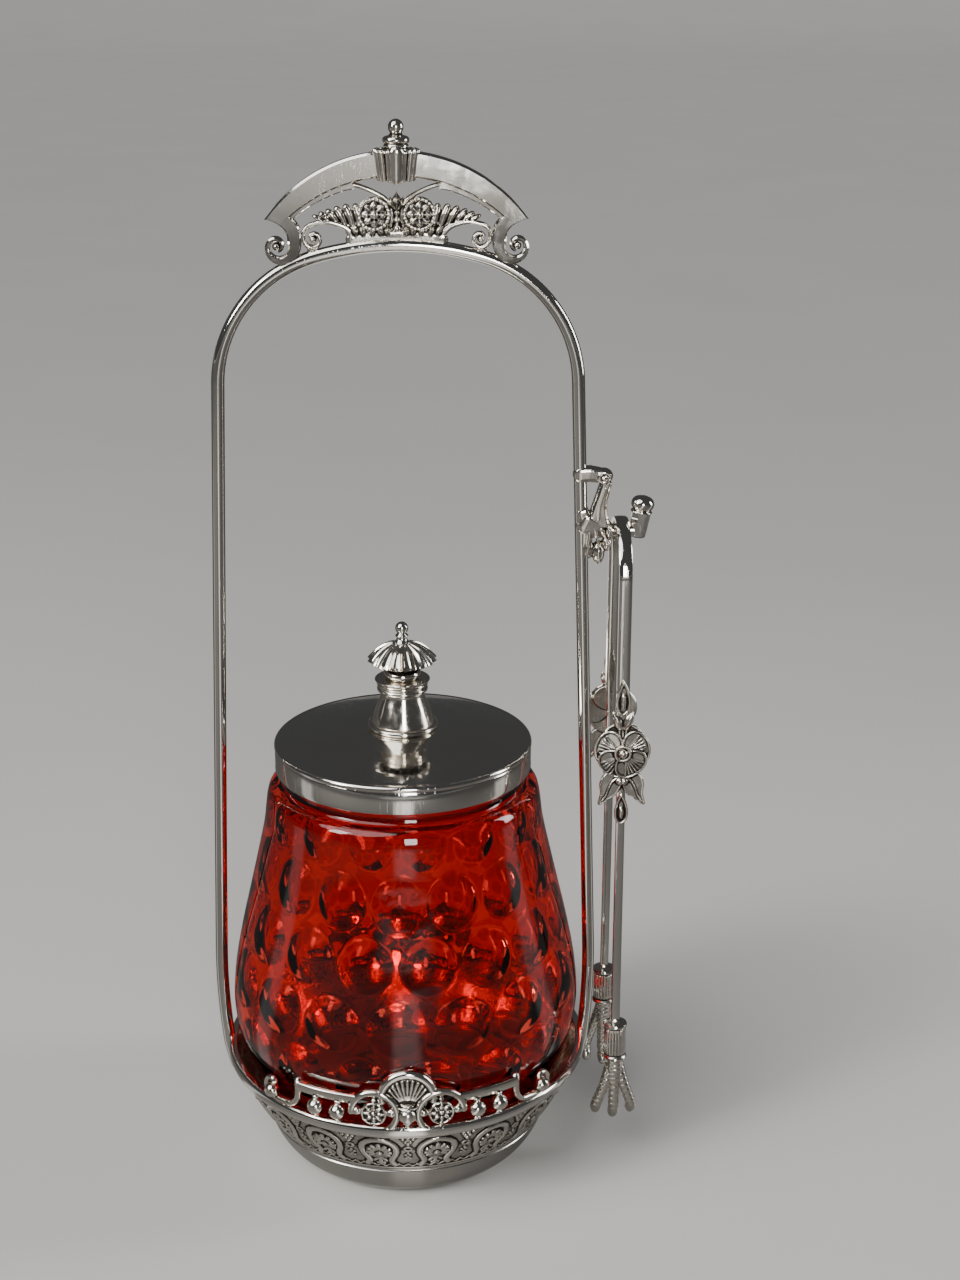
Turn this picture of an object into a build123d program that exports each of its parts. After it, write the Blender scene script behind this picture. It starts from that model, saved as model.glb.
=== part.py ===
from build123d import *
from math import atan, cos, degrees, radians, sin, sqrt, tan
import os

# A pickle castor: a silver plated stand with a tall fixed bail, a ruby glass jar that
# stands in its cup, a lid that lifts off the jar, and sprung tongs that hang on a hook.
# Lengths are millimetres. The origin is the centre of the foot's underside, x runs to the
# side that carries the hook, the pierced gallery at the front faces -y, and z is up.

# Spun foot and cup
foot_base_r = 34.3
foot_room = 5.12
foot_h = 12.0
foot_belly_shares = (0.62, 0.42)
sheet_t = 1.4
band_h = 16.0
band_bulge = 0.5
rim_h = 4.4
rim_proud = 2.3
rim_land_w = 1.7
rim_bulge_share = 0.45
floor_top_z = 9.0
floor_t = 1.4

# Pierced gallery on the front and the back of the rim
gallery_clear = 0.4
gallery_depth = 1.7
arch_depth = 2.4
arch_r = 8.4
arch_bar_w = 2.2
arch_rise = 9.2
arch_sweep = 230.0
fan_t = 1.0
fan_foot_r = 2.0
ring_r = 7.35
ring_bar_w = 1.8
ring_rise = 4.3
ring_offset = 9.2
ring_sweep = 236.0
rosette_r = 3.25
rosette_t = 1.3
bead_r = 1.15
bead_place_r = 4.5
stem_r = 0.5
rail_rise = 8.2
rail_h = 2.2
rail_from_angle = 15.5
rail_ball_r = 2.0
rail_ball_rise = 2.7
rail_ball_angles = (21.6, 29.0)
hook_bar_angle = 41.6
hook_bar_r = 6.1
hook_bar_w = 1.8
hook_bar_rise = 5.4
hook_bar_sweep = 150.0
end_ball_r = 2.15

# Ruby glass jar
jar_belly_r = 50.4
jar_floor_share = 0.595
jar_wall = 3.0
jar_floor_t = 5.0
jar_shoulder_z = 112.8
jar_shoulder_out = 3.9
jar_neck_r = 34.6
jar_neck_wall = 3.0
jar_shoulder_h = 3.2
jar_neck_h = 9.8
print_count = 16
print_rows = 6
print_gap = 0.6
print_sink = 1.0
print_flat_share = 0.5
print_turn = 8.0
print_low_margin = 0.5
print_top_margin = 8.5
jar_heel_shares = (0.667, 0.333)
jar_turn_shares = (0.256, 0.667)
# Height and radius of the outer wall, as shares of the height from floor to shoulder and
# of the belly radius
jar_wall_shares = (
    (0.035, 0.700),
    (0.11, 0.812),
    (0.22, 0.934),
    (0.34, 1.0),
    (0.45, 0.993),
    (0.57, 0.950),
    (0.69, 0.893),
    (0.80, 0.840),
    (0.90, 0.795),
)

# Lid
lid_clear = 0.9
lid_skirt_h = 8.1
lid_edge_r = 0.7
quarter_shares = (0.293, 0.707)
lid_t = 1.2
lid_skirt_t = 1.0
lid_rise = 3.5
bell_foot_r = 9.8
bell_neck_r = 6.0
bell_h = 10.9
bell_t = 1.0
bell_foot_h = 1.7
bell_waist_shares = (0.40, 0.55)
collar_r = 7.2
collar_h = 3.8
dome_r = 5.4
dome_h = 3.0
parasol_r = 9.7
parasol_drop = 0.9
parasol_h = 7.6
parasol_top_r = 2.3
parasol_belly_shares = (0.58, 0.365)
rib_count = 18
rib_gap_r = 1.0
knob_neck_r = 1.4
knob_ball_r = 1.8
knob_h = 5.9
knob_cove_shares = (0.25, 0.667)
stud_r = 1.6
stud_clear = 0.1
stud_end = 1.0
nut_h = 2.4
nut_flats = 6.0
finial_socket_share = 0.6

# Bail
rod_r = 1.8
bail_crown_z = 265.7
crown_angle = 16.0
shoulder_r = 35.9
side_lean = 1.97
lower_bend_r = 216.0
lower_bend_angle = 8.5
bail_sink = 1.9
bail_end_drop = 2.4
tip_l = 8.0
tip_r = 0.9

# Crest on top of the bail, measured from the centre line of the crown
crest_half_w = 34.4
crest_tip_rise = 6.8
crest_top_rise = 24.2
crest_bar_w = 6.6
crest_inner_half_w = 28.4
crest_depth = 4.0
leg_depth = 3.2
scroll_r = 3.0
scroll_core_r = 1.2
scroll_x = 31.2
scroll_seat = 6.5
fret_depth = 2.2
fret_half_w = 11.2
fret_base_h = 3.4
crest_rosette_r = 4.05
crest_rosette_t = 1.0
crest_rosette_x = 5.8
crest_rosette_rise = 8.0
crest_boss_r = 1.5
inner_scroll_r = 2.3
inner_scroll_x = 22.3
inner_scroll_seat = 4.8
strand_w = 1.3
finial_cup_r = 6.0
finial_cup_foot_r = 4.9
finial_cup_h = 8.4
finial_collar_r = 3.3
finial_collar_h = 3.6
finial_ball_r = 1.5
finial_neck_r = 1.1
finial_neck_h = 1.0
finial_reed_count = 14
finial_reed_r = 0.5
finial_reed_share = 0.9
# Points of each leg, in radii of its volute from the volute's centre
leg_inner_shares = ((-1.77, 1.0), (-1.77, 0.0), (-1.3, -1.33))
leg_outer_shares = ((0.0, -1.0), (-0.95, 0.0), (-0.8, 1.0))
# Points of the fretwork, as shares of its reach and of the rosette's radius
wing_upper_shares = ((0.28, 0.6), (0.72, 0.55), (1.0, -0.3))
wing_lower_shares = ((1.0, -0.5), (0.7, -0.5))
link_shares = ((0.93, -0.4), (1.13, -0.9))
arc_shares = ((0.33, 1.37), (0.11, 0.2))
arc_start_share = 1.05
link_end_share = 0.8
foot_start_share = 0.8
foot_depth_share = 1.5
fret_middle_share = 0.65

# Hook on the side of the bail, measured from the peg's centre line and the rod's centre
hook_z = 187.6
hook_depth = 4.4
hook_reach = 8.6
hook_up = 18.4
hook_down = 10.0
peg_r = 1.9
knob_lean = 8.0
barrel_r = 2.6
barrel_foot_r = 2.2
barrel_h = 7.6
barrel_sides = 8
bun_r = 2.9
bun_h = 3.8
# Outline of the bracket, as shares of its reach and of its height above or below the peg
bracket_front_shares = (
    (0.0, 1.0), (0.62, 1.0), (0.86, 0.93), (0.89, 0.80), (0.84, 0.62), (0.74, 0.27),
    (1.0, 0.14), (1.0, -0.1),
)
bracket_low_shares = (
    (0.84, -0.35), (0.80, -0.62), (0.61, -1.0), (0.45, -0.74), (0.22, -0.95), (0.0, -0.6),
)
bracket_back_shares = ((0.0, 0.36), (0.27, 0.38), (0.53, 0.74), (0.0, 0.74))

# Tongs
tong_offset = 11.3
bow_r = 14.0
bow_w = 3.6
strip_t = 1.6
hang_clear = 0.1
arm_lean = 1.08
arm_w = 2.5
arm_upper_l = 38.0
arm_taper_l = 12.0
arm_l = 132.9
tang_l = 6.0
flower_s = 48.4
petal_count = 5
petal_r = 4.0
petal_out = 3.8
flower_t = 2.0
flower_boss_r = 1.6
bud_l = 10.0
bud_w = 3.6
bud_s = 27.5
leaf_l = 9.5
leaf_w = 5.0
leaf_out = 3.6
tail_l = 9.0
tail_w = 3.4
leaf_turn = 14.0
leaf_drop_share = 0.28
tail_drop_share = 0.6
spine_share = 0.8
flower_thin_share = 0.7
ferrule_r = 3.1
ferrule_h = 12.0
ferrule_bead_r = 3.5
ferrule_bead_h = 1.6
palm_r = 2.5
toe_r = 1.55
toe_spread = 5.0
toe_l = 21.2
side_toe_short = 1.6
toe_curl = 2.2
palm_h_share = 0.32
palm_top_share = 0.8
# Points down a toe: shares of its spread, of its curl and of its length
toe_shares = ((0.55, -0.2, 0.45), (1.0, 0.0, 0.78))
toe_end_share = 1.02

# One length that every cut runs past the surface it opens
overrun = 1.0

# Sizes, heights and places that follow
jar_floor_r = jar_belly_r * jar_floor_share
jar_shoulder_r = jar_neck_r + jar_shoulder_out
jar_neck_z = jar_shoulder_z + jar_shoulder_h + jar_neck_h
foot_top_r = jar_belly_r * jar_wall_shares[0][1] + foot_room + sheet_t
band_top_r = jar_belly_r
rim_r = band_top_r + rim_proud
band_top_z = foot_h + band_h
rim_top_z = band_top_z + rim_h
print_low_z = floor_top_z + print_low_margin
print_pitch = (jar_shoulder_z - print_top_margin - print_low_z) / print_rows
print_r = print_pitch / 2 - print_gap
lid_r = jar_neck_r + lid_clear + lid_skirt_t
lid_top_z = jar_neck_z + lid_t
bell_z = lid_top_z + lid_rise
collar_z = bell_z + bell_h
dome_z = collar_z + collar_h
parasol_z = dome_z + dome_h
knob_z = parasol_z + parasol_h
gallery_r = jar_belly_r + gallery_clear


def turned(edges):
    """Turn a closed outline, drawn as radius and height, about the upright axis."""
    return revolve(Plane.XZ * make_face(edges), Axis.Z)


def ring_line(*points):
    """Straight runs through points of radius and height, as edges."""
    return Polyline(*points).edges()


def mirrored(solid):
    """The solid and its copy on the other side of the bail."""
    return solid + mirror(solid, Plane.YZ)


def cut_flat(sketch, depth, y=0):
    """A plate with its outline in x and z, centred on the plane at y."""
    return extrude(Plane((0, y, 0), (1, 0, 0), (0, -1, 0)) * sketch, depth / 2, both=True)


# Cup


def foot_edge(inset):
    """The bulging side of the foot, moved in by inset."""
    base = (foot_base_r - inset, 0)
    out, up = foot_belly_shares
    belly = (foot_base_r + (foot_top_r - foot_base_r) * out - inset, foot_h * up)
    return ThreePointArc(base, belly, (foot_top_r - inset, foot_h))


def band_edge(inset):
    """The slightly rounded side of the ornament band, moved in by inset."""
    low, high = (foot_top_r - inset, foot_h), (band_top_r - inset, band_top_z)
    middle = ((low[0] + high[0]) / 2 + band_bulge, (foot_h + band_top_z) / 2)
    return ThreePointArc(low, middle, high)


def wall_between(outer, inner):
    """The two ends that close an outline between an outer and an inner edge."""
    return [outer, Line(outer @ 1, inner @ 1), inner, Line(inner @ 0, outer @ 0)]


def foot_ring():
    return turned(wall_between(foot_edge(0), foot_edge(sheet_t)))


def ornament_band():
    return turned(wall_between(band_edge(0), band_edge(sheet_t)))


def rim_inner_r():
    """Radius of the inner edge of the rim's flat top."""
    return gallery_r - gallery_clear / 2


def rim_border():
    low, low_in = (band_top_r, band_top_z), (band_top_r - sheet_t, band_top_z)
    top = (rim_inner_r() + rim_land_w, rim_top_z)
    top_in = (rim_inner_r(), rim_top_z)
    bulge = (rim_r, band_top_z + rim_h * rim_bulge_share)
    return turned([ThreePointArc(low, bulge, top)] + list(ring_line(top, top_in, low_in, low)))


def base_floor():
    """The plate that the jar stands on, trimmed to the inside of the foot."""
    inner = foot_edge(sheet_t)
    inside = turned([inner] + list(ring_line(inner @ 1, (0, foot_h), (0, 0), inner @ 0)))
    plate = Pos(0, 0, floor_top_z - floor_t / 2) * Cylinder(foot_top_r, floor_t)
    return plate & inside


# Gallery


def facing(angle, radius, z):
    """The plane that faces outwards at an angle round the cup, with x to the right and y up."""
    a = radians(angle)
    return Plane((radius * sin(a), -radius * cos(a), z), (cos(a), sin(a), 0), (sin(a), -cos(a), 0))


def bow_bar(outer, width, start, sweep):
    """A flat curved bar: part of a ring, from a start angle through a sweep, both in degrees."""
    middle = CenterArc((0, 0), outer - width / 2, start, sweep)
    section = Plane(middle @ 0, (0, 0, 1), middle % 0) * Circle(width / 2)
    ends = [Pos(*(middle @ t)) * Sphere(width / 2) for t in (0, 1)]
    return sweep_along(section, middle) + ends


def sweep_along(section, path):
    return sweep(section, path=path)


def on_rim(angle, rise, depth):
    """A plane on the gallery's middle, at an angle and a height above the rim."""
    return facing(angle, gallery_r + depth / 2, rim_top_z + rise)


def stem(plane, x, low, high):
    """A thin upright pin in a plane, between two heights measured from its centre."""
    pin = Cylinder(stem_r, high - low, rotation=(90, 0, 0))
    return plane * (Pos(x, (low + high) / 2, 0) * pin)


def fan_shell():
    """The middle motif: a ribbed fan under a thick arch, standing on a round foot."""
    plane = on_rim(0, arch_rise, arch_depth)
    arch = bow_bar(arch_r, arch_bar_w, 90 - arch_sweep / 2, arch_sweep)
    disc_r = arch_r - arch_bar_w / 2
    disc = extrude(Circle(disc_r), fan_t / 2, both=True)
    foot = Pos(0, -(arch_rise - fan_foot_r * 2), 0) * Sphere(fan_foot_r)
    below = stem(plane, 0, -arch_rise - overrun, fan_foot_r * 2 - arch_rise)
    return plane * (arch + disc + foot) + below


def beaded_ring(side):
    """A ring beside the fan, with a rosette held by four small beads."""
    angle = degrees(side * ring_offset / gallery_r)
    plane = on_rim(angle, ring_rise, gallery_depth)
    start = -56 if side < 0 else 0
    ring = bow_bar(ring_r, ring_bar_w, start, ring_sweep)
    rosette = extrude(Circle(rosette_r), rosette_t / 2, both=True)
    body = ring + rosette
    for turn in range(4):
        out = Rot(0, 0, 90 * turn)
        reach = ring_r - ring_bar_w / 2
        pin = Pos(reach / 2, 0, 0) * Cylinder(stem_r, reach, rotation=(0, 90, 0))
        body += out * (Pos(bead_place_r, 0, 0) * Sphere(bead_r))
        body += out * pin
    return plane * body


def rail(side):
    """The upper rail with its two balls on pins."""
    middle = Pos(gallery_r + gallery_depth / 2, rim_top_z + rail_rise)
    band = Plane.XZ * middle * Rectangle(gallery_depth, rail_h)
    end_angle = hook_bar_angle - degrees((hook_bar_r - hook_bar_w / 2) / gallery_r)
    arc = revolve(band, Axis.Z, revolution_arc=end_angle - rail_from_angle)
    start = rail_from_angle - 90 if side > 0 else -end_angle - 90
    body = Rot(0, 0, start) * arc
    for angle in rail_ball_angles:
        plane = on_rim(side * angle, rail_ball_rise, gallery_depth)
        shift = rail_ball_r - gallery_depth / 2
        ball = plane * (Pos(0, 0, shift) * Sphere(rail_ball_r))
        body += ball + stem(plane, 0, -rail_ball_rise - overrun, rail_rise - rail_ball_rise)
    return body


def end_hook(side):
    """The curved bar that drops from the rail to the rim and rises to a ball."""
    plane = on_rim(side * hook_bar_angle, hook_bar_rise, gallery_depth)
    start = 180 if side > 0 else 360 - hook_bar_sweep
    bar = bow_bar(hook_bar_r, hook_bar_w, start, hook_bar_sweep)
    last = radians(start + hook_bar_sweep if side > 0 else start)
    middle = hook_bar_r - hook_bar_w / 2
    shift = end_ball_r - gallery_depth / 2
    ball = Pos(middle * cos(last), middle * sin(last), shift) * Sphere(end_ball_r)
    riser_h = rail_rise + rail_h / 2 - hook_bar_rise
    riser = Cylinder(hook_bar_w / 2, riser_h, rotation=(90, 0, 0))
    return plane * (bar + ball + Pos(-side * middle, riser_h / 2, 0) * riser)


def gallery(rim):
    body = fan_shell()
    for side in (-1, 1):
        body += beaded_ring(side) + rail(side) + end_hook(side)
    inside = Pos(0, 0, rim_top_z) * Cylinder(gallery_r, 2 * (arch_rise + arch_r + overrun))
    return body - inside - rim - below_rim()


def below_rim():
    """All the space lower than the rim's flat top, which the gallery stands on."""
    reach = gallery_r + arch_depth + end_ball_r + rim_h
    return Pos(0, 0, rim_top_z / 2) * Cylinder(reach, rim_top_z)


# Jar


def jar_points(inset):
    """Points up the jar's side, moved in by inset."""
    rise = jar_shoulder_z - floor_top_z
    return [(jar_belly_r * r - inset, floor_top_z + rise * z) for z, r in jar_wall_shares]


def bent(start, end, shares):
    """An arc between two points, through shares of the way across and up."""
    across, up = shares
    middle = (start[0] + (end[0] - start[0]) * across, start[1] + (end[1] - start[1]) * up)
    return ThreePointArc(start, middle, end)


def jar_outline():
    """The outer and the inner side of the glass, each from the floor to the mouth."""
    outer = jar_points(0)
    shoulder = (jar_shoulder_r, jar_shoulder_z)
    neck_z = jar_shoulder_z + jar_shoulder_h
    side = Spline(*outer, shoulder)
    heel = bent((jar_floor_r, floor_top_z), outer[0], jar_heel_shares)
    turn = bent(shoulder, (jar_neck_r, neck_z), jar_turn_shares)
    bore = jar_neck_r - jar_neck_wall
    inner_shoulder = (jar_shoulder_r - jar_wall, jar_shoulder_z)
    floor_z = floor_top_z + jar_floor_t
    lip = ring_line(
        (jar_neck_r, neck_z),
        (jar_neck_r, jar_neck_z),
        (bore, jar_neck_z),
        (bore, neck_z),
        inner_shoulder,
    )
    base = ring_line(
        inner_shoulder,
        *reversed(print_bands()),
        (jar_floor_r - jar_wall, floor_z),
        (0, floor_z),
        (0, floor_top_z),
        (jar_floor_r, floor_top_z),
    )
    return [heel, side, turn] + list(lip) + list(base)


def print_bands():
    """Corners of the inside of the glass, which has one straight band for each row of prints."""
    first = max(print_low_z, floor_top_z + jar_floor_t)
    heights = [first] + [print_low_z + print_pitch * k for k in range(1, print_rows + 1)]
    return [(jar_radius(z, jar_wall), z) for z in heights if z < jar_shoulder_z]


def jar_radius(z, inset):
    """Radius of the glass at a height, by straight steps between the points of its side."""
    points = jar_points(inset) + [(jar_shoulder_r - inset, jar_shoulder_z)]
    for (r0, z0), (r1, z1) in zip(points, points[1:]):
        if z <= z1:
            break
    return r0 + (r1 - r0) * (z - z0) / (z1 - z0)


def print_cutter(z, angle):
    """The shallow round dish that hollows one thumb print into the inside of the glass."""
    low, high = jar_radius(z - print_pitch / 2, jar_wall), jar_radius(z + print_pitch / 2, jar_wall)
    tilt = degrees(atan((high - low) / print_pitch))
    wall_r = (low + high) / 2
    flat_r = print_r * print_flat_share
    side_h = print_sink + print_r**2 / (2 * wall_r)
    slope = (print_r - flat_r) / side_h
    h = side_h + overrun
    dish = Pos(0, 0, print_sink - h / 2) * Cone(flat_r + slope * h, flat_r, h)
    return Rot(0, 0, angle) * (Pos(wall_r, 0, z) * Rot(0, 90 + tilt, 0) * dish)


def glass_jar():
    """The blown jar, with staggered rows of round prints pressed into its inside."""
    step = 360 / print_count
    glass = turned(jar_outline())
    for row in range(1, print_rows):
        z = print_low_z + print_pitch * (row + 1 / 2)
        turns = [step * (k + row % 2 / 2) + print_turn for k in range(print_count)]
        glass -= [print_cutter(z, angle) for angle in turns]
    return glass


# Lid


def lid_plate():
    """The flat lid with its skirt, bored for the stud."""
    skirt_z = lid_top_z - lid_skirt_h
    bore = stud_r + stud_clear
    rim = bent((lid_r, lid_top_z - lid_edge_r), (lid_r - lid_edge_r, lid_top_z), quarter_shares)
    flat_r = bell_foot_r + lid_edge_r
    seat_r = jar_neck_r - jar_neck_wall
    inner_r = lid_r - lid_skirt_t
    fall = lid_rise * (lid_r - lid_edge_r - seat_r) / (lid_r - lid_edge_r - flat_r)
    under = lid_top_z + fall - lid_t
    outline = ring_line(
        (lid_r - lid_edge_r, lid_top_z),
        (flat_r, bell_z),
        (bore, bell_z),
        (bore, bell_z - lid_t),
        (flat_r, bell_z - lid_t),
        (seat_r, under),
        (seat_r, jar_neck_z),
        (inner_r, jar_neck_z),
        (inner_r, skirt_z),
        (lid_r, skirt_z),
        (lid_r, lid_top_z - lid_edge_r),
    )
    return turned([rim] + list(outline))


def lid_bell():
    """The hollow bell that stands in the middle of the lid."""
    bore = stud_r + stud_clear
    belly = bell_foot_r - bell_t / 5
    foot_r = bell_foot_r - bell_t
    out, up = bell_waist_shares
    side_z = bell_z + bell_foot_h
    waist_r = bell_neck_r + (bell_foot_r - bell_neck_r) * out
    waist_z = side_z + (bell_h - bell_foot_h) * up
    foot = ThreePointArc((foot_r, bell_z), (bell_foot_r, bell_z + bell_foot_h / 2), (belly, side_z))
    side = ThreePointArc((belly, side_z), (waist_r, waist_z), (bell_neck_r, collar_z))
    neck_in = (bell_neck_r - bell_t, collar_z - bell_t)
    inner = ThreePointArc(neck_in, (waist_r - bell_t, waist_z), (belly - bell_t, side_z))
    top = ring_line((bell_neck_r, collar_z), (bore, collar_z), (bore, collar_z - bell_t), neck_in)
    base = ring_line((belly - bell_t, side_z), (foot_r - bell_t / 2, bell_z), (foot_r, bell_z))
    return turned([foot, side] + list(top) + [inner] + list(base))


def lid_collar():
    """Two round beads, one on the other."""
    bore = stud_r + stud_clear
    groove_r = collar_r - collar_h / 4
    half = collar_z + collar_h / 2
    lower = ThreePointArc((groove_r, collar_z), (collar_r, collar_z + collar_h / 4), (groove_r, half))
    upper = ThreePointArc((groove_r, half), (collar_r, half + collar_h / 4), (groove_r, dome_z))
    rest = ring_line((groove_r, dome_z), (bore, dome_z), (bore, collar_z), (groove_r, collar_z))
    return turned([lower, upper] + list(rest))


def lid_parasol():
    """The fluted parasol on its small dome, with a scalloped edge and a blind bore."""
    bore = stud_r + stud_clear
    neck = dome_r - dome_h / 3
    edge_z = parasol_z + parasol_drop
    dome = ThreePointArc((neck, dome_z), (dome_r, dome_z + dome_h / 2), (neck, parasol_z))
    rib_z = edge_z + parasol_drop
    shade = bent((parasol_top_r, knob_z), (parasol_r, rib_z), parasol_belly_shares)
    socket_z = parasol_z + parasol_h * finial_socket_share
    under = ring_line((neck, parasol_z), (parasol_r, edge_z), (parasol_r, rib_z))
    top = ring_line((parasol_top_r, knob_z), (0, knob_z), (0, socket_z))
    socket = ring_line((0, socket_z), (bore, socket_z), (bore, dome_z), (neck, dome_z))
    body = turned([dome, shade] + list(under) + list(top) + list(socket))
    cutter = Pos(parasol_r + rib_gap_r / 2, 0, parasol_z) * Cylinder(rib_gap_r, parasol_h)
    return body - [Rot(0, 0, 360 * k / rib_count) * cutter for k in range(rib_count)]


def lid_knob():
    """The small ball on its neck."""
    top = knob_z + knob_h
    ball_z = top - knob_ball_r
    meet = ball_z - sqrt(knob_ball_r**2 - knob_neck_r**2)
    cove = bent((knob_neck_r, meet), (parasol_top_r, knob_z), knob_cove_shares)
    ball = ThreePointArc((knob_neck_r, meet), (knob_ball_r, ball_z), (0, top))
    return turned([cove, ball] + list(ring_line((0, top), (0, knob_z), (parasol_top_r, knob_z))))


def stud_low_z():
    return bell_z - lid_t - nut_h - stud_end


def lid_stud():
    top = parasol_z + parasol_h * finial_socket_share
    low = stud_low_z()
    return Pos(0, 0, (top + low) / 2) * Cylinder(stud_r, top - low)


def lid_nut():
    """The nut under the lid that pulls the finial down."""
    prism = extrude(RegularPolygon(nut_flats / 2, 6, major_radius=False), nut_h)
    bore = Cylinder(stud_r + stud_clear / 2, nut_h * 3)
    return Pos(0, 0, bell_z - lid_t - nut_h) * (prism - bore)


# Bail


def bail_low():
    """Centre of the rod where its straight side ends and the lower bend begins."""
    lean, end = radians(side_lean), radians(side_lean - lower_bend_angle)
    end_x = rim_r + rod_r - bail_sink
    end_z = rim_top_z - bail_end_drop
    x = end_x + lower_bend_r * (cos(lean) - cos(end))
    return x, end_z + lower_bend_r * (sin(lean) - sin(end))


def bail_x(z):
    """Distance of the rod's straight side from the middle, at a height."""
    x, low = bail_low()
    return x - (z - low) * tan(radians(side_lean))


def crown_r():
    """The radius of the crown that lets the shoulder meet the straight side."""
    a, b = radians(crown_angle), radians(90 - side_lean)
    lean = tan(radians(side_lean))
    x, low = bail_low()
    drop = bail_crown_z - low - shoulder_r * (cos(a) - cos(b))
    return (x - lean * drop - shoulder_r * (sin(b) - sin(a))) / (sin(a) - lean * (1 - cos(a)))


def rod_z(x):
    """Height of the rod's centre line over a place on the crown or on the shoulder."""
    lean = radians(crown_angle)
    centre_z = bail_crown_z - crown_r()
    if x <= crown_r() * sin(lean):
        return centre_z + sqrt(crown_r() ** 2 - x**2)
    reach = crown_r() - shoulder_r
    return centre_z + reach * cos(lean) + sqrt(shoulder_r**2 - (x - reach * sin(lean)) ** 2)


def half_bail():
    """One half of the rod, from the crown to its tapered end on the cup."""
    crown = JernArc((0, bail_crown_z), (1, 0), crown_r(), -crown_angle)
    shoulder = JernArc(crown @ 1, crown % 1, shoulder_r, -(90 - side_lean - crown_angle))
    side = Line(shoulder @ 1, bail_low())
    bend = JernArc(side @ 1, side % 1, lower_bend_r, -lower_bend_angle)
    path = Plane.XZ * Wire([crown, shoulder, side, bend])
    rod = sweep(Plane(path @ 0, (0, 1, 0), path % 0) * Circle(rod_r), path=path)
    end = Plane(path @ 1, (0, 1, 0), path % 1)
    tip = end * (Pos(0, 0, tip_l / 2) * Cone(rod_r, tip_r, tip_l))
    return rod + tip


def bail_rod():
    return mirrored(half_bail())


# Crest


def crest_bar(rod):
    """The arched bar with pointed ends, two curved legs and a volute beside each leg."""
    tip_z = bail_crown_z + crest_tip_rise
    top_z = bail_crown_z + crest_top_rise
    tip, inner = (crest_half_w, tip_z), (crest_inner_half_w, tip_z)
    outer_arc = ThreePointArc((-tip[0], tip_z), (0, top_z), tip)
    inner_arc = ThreePointArc(inner, (0, top_z - crest_bar_w), (-inner[0], tip_z))
    outline = [outer_arc, Line(tip, inner), inner_arc, Line((-inner[0], tip_z), (-tip[0], tip_z))]
    bar = cut_flat(make_face(outline), crest_depth)
    return bar + mirrored(crest_leg()) - rod


def crest_leg():
    """The leg under the right-hand tip, which curls into the volute that rests on the rod."""
    tip_z = bail_crown_z + crest_tip_rise
    scroll_z = rod_z(scroll_x) + scroll_seat
    inner = [(scroll_x + scroll_r * x, scroll_z + scroll_r * z) for x, z in leg_inner_shares]
    outer = [(scroll_x + scroll_r * x, scroll_z + scroll_r * z) for x, z in leg_outer_shares]
    inside = Spline((crest_inner_half_w, tip_z), *inner)
    outside = Spline(*outer, (crest_half_w, tip_z))
    outline = [inside, Line(inside @ 1, outside @ 0), outside, Line(outside @ 1, inside @ 0)]
    leg = cut_flat(make_face(outline), leg_depth)
    curl = cut_flat(Pos(scroll_x, scroll_z) * Circle(scroll_r), leg_depth)
    eye = cut_flat(Pos(scroll_x, scroll_z) * Circle(scroll_core_r), crest_depth)
    return leg + curl + eye


def strand(points):
    """A thin curved bar of the fretwork through points."""
    path = Plane.XZ * Spline(*points)
    bar = sweep(Plane(path @ 0, (0, 1, 0), path % 0) * Circle(strand_w / 2), path=path)
    return bar + [Pos(*(path @ t)) * Sphere(strand_w / 2) for t in (0, 1)]


def fret_points(shares):
    """Places in the fretwork, from shares of its reach and of the rosette's radius."""
    reach = inner_scroll_x - strand_w
    middle_z = bail_crown_z + crest_rosette_rise
    return [(reach * x, middle_z + crest_rosette_r * z) for x, z in shares]


def half_fret():
    """The right half of the fretwork: base, leaf wing, small scroll and upper strand."""
    z = bail_crown_z
    base_z = z + fret_base_h
    base = Pos(fret_half_w / 2, base_z - (fret_base_h - rod_r) / 2) * Rectangle(fret_half_w, fret_base_h)
    disc = Pos(crest_rosette_x, z + crest_rosette_rise) * Circle(crest_rosette_r)
    middle_z = z + crest_rosette_rise * fret_middle_share
    middle = Pos(0, middle_z) * Rectangle(crest_rosette_r, crest_rosette_rise)
    upper = Spline(*fret_points(wing_upper_shares))
    lower = Spline(*fret_points(wing_lower_shares), (fret_half_w, base_z))
    wing = make_face([upper, Line(upper @ 1, lower @ 0), lower, Line(lower @ 1, upper @ 0)])
    plate = cut_flat(base + disc + middle + wing, fret_depth)
    return plate + inner_scroll() + upper_strand()


def inner_scroll():
    """The small volute beside the wing, with the strand that carries it and its foot."""
    x = inner_scroll_x
    z = rod_z(x) + inner_scroll_seat
    curl = cut_flat(Pos(x, z) * Circle(inner_scroll_r), fret_depth)
    link = strand(fret_points(link_shares) + [(x + inner_scroll_r * link_end_share, z)])
    foot_z = z - inner_scroll_r
    foot = strand([(x, z - inner_scroll_r * foot_start_share), (x, foot_z - rod_r * foot_depth_share)])
    return curl + link + foot


def upper_strand():
    """The strand that rises from the rosettes to the underside of the bar."""
    under_z = bail_crown_z + crest_top_rise - crest_bar_w
    return strand([(fret_half_w * arc_start_share, under_z - strand_w)] + fret_points(arc_shares))


def crest_fretwork(rod, bar):
    return mirrored(half_fret()) - rod - bar


def crest_rosettes():
    """Two round flowers, one on each half of the fretwork, front and back."""
    disc = Cylinder(crest_rosette_r, crest_rosette_t, rotation=(90, 0, 0)) + Sphere(crest_boss_r)
    y = fret_depth / 2 + crest_rosette_t / 2
    z = bail_crown_z + crest_rosette_rise
    size = 4 * crest_rosette_r
    plate = Pos(crest_rosette_x, 0, z) * Box(size, fret_depth, size)
    whole = Pos(crest_rosette_x, -y, z) * disc - plate
    front = [whole, mirror(whole, Plane.YZ)]
    return Compound(front + [mirror(s, Plane.XZ) for s in front])


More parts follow.
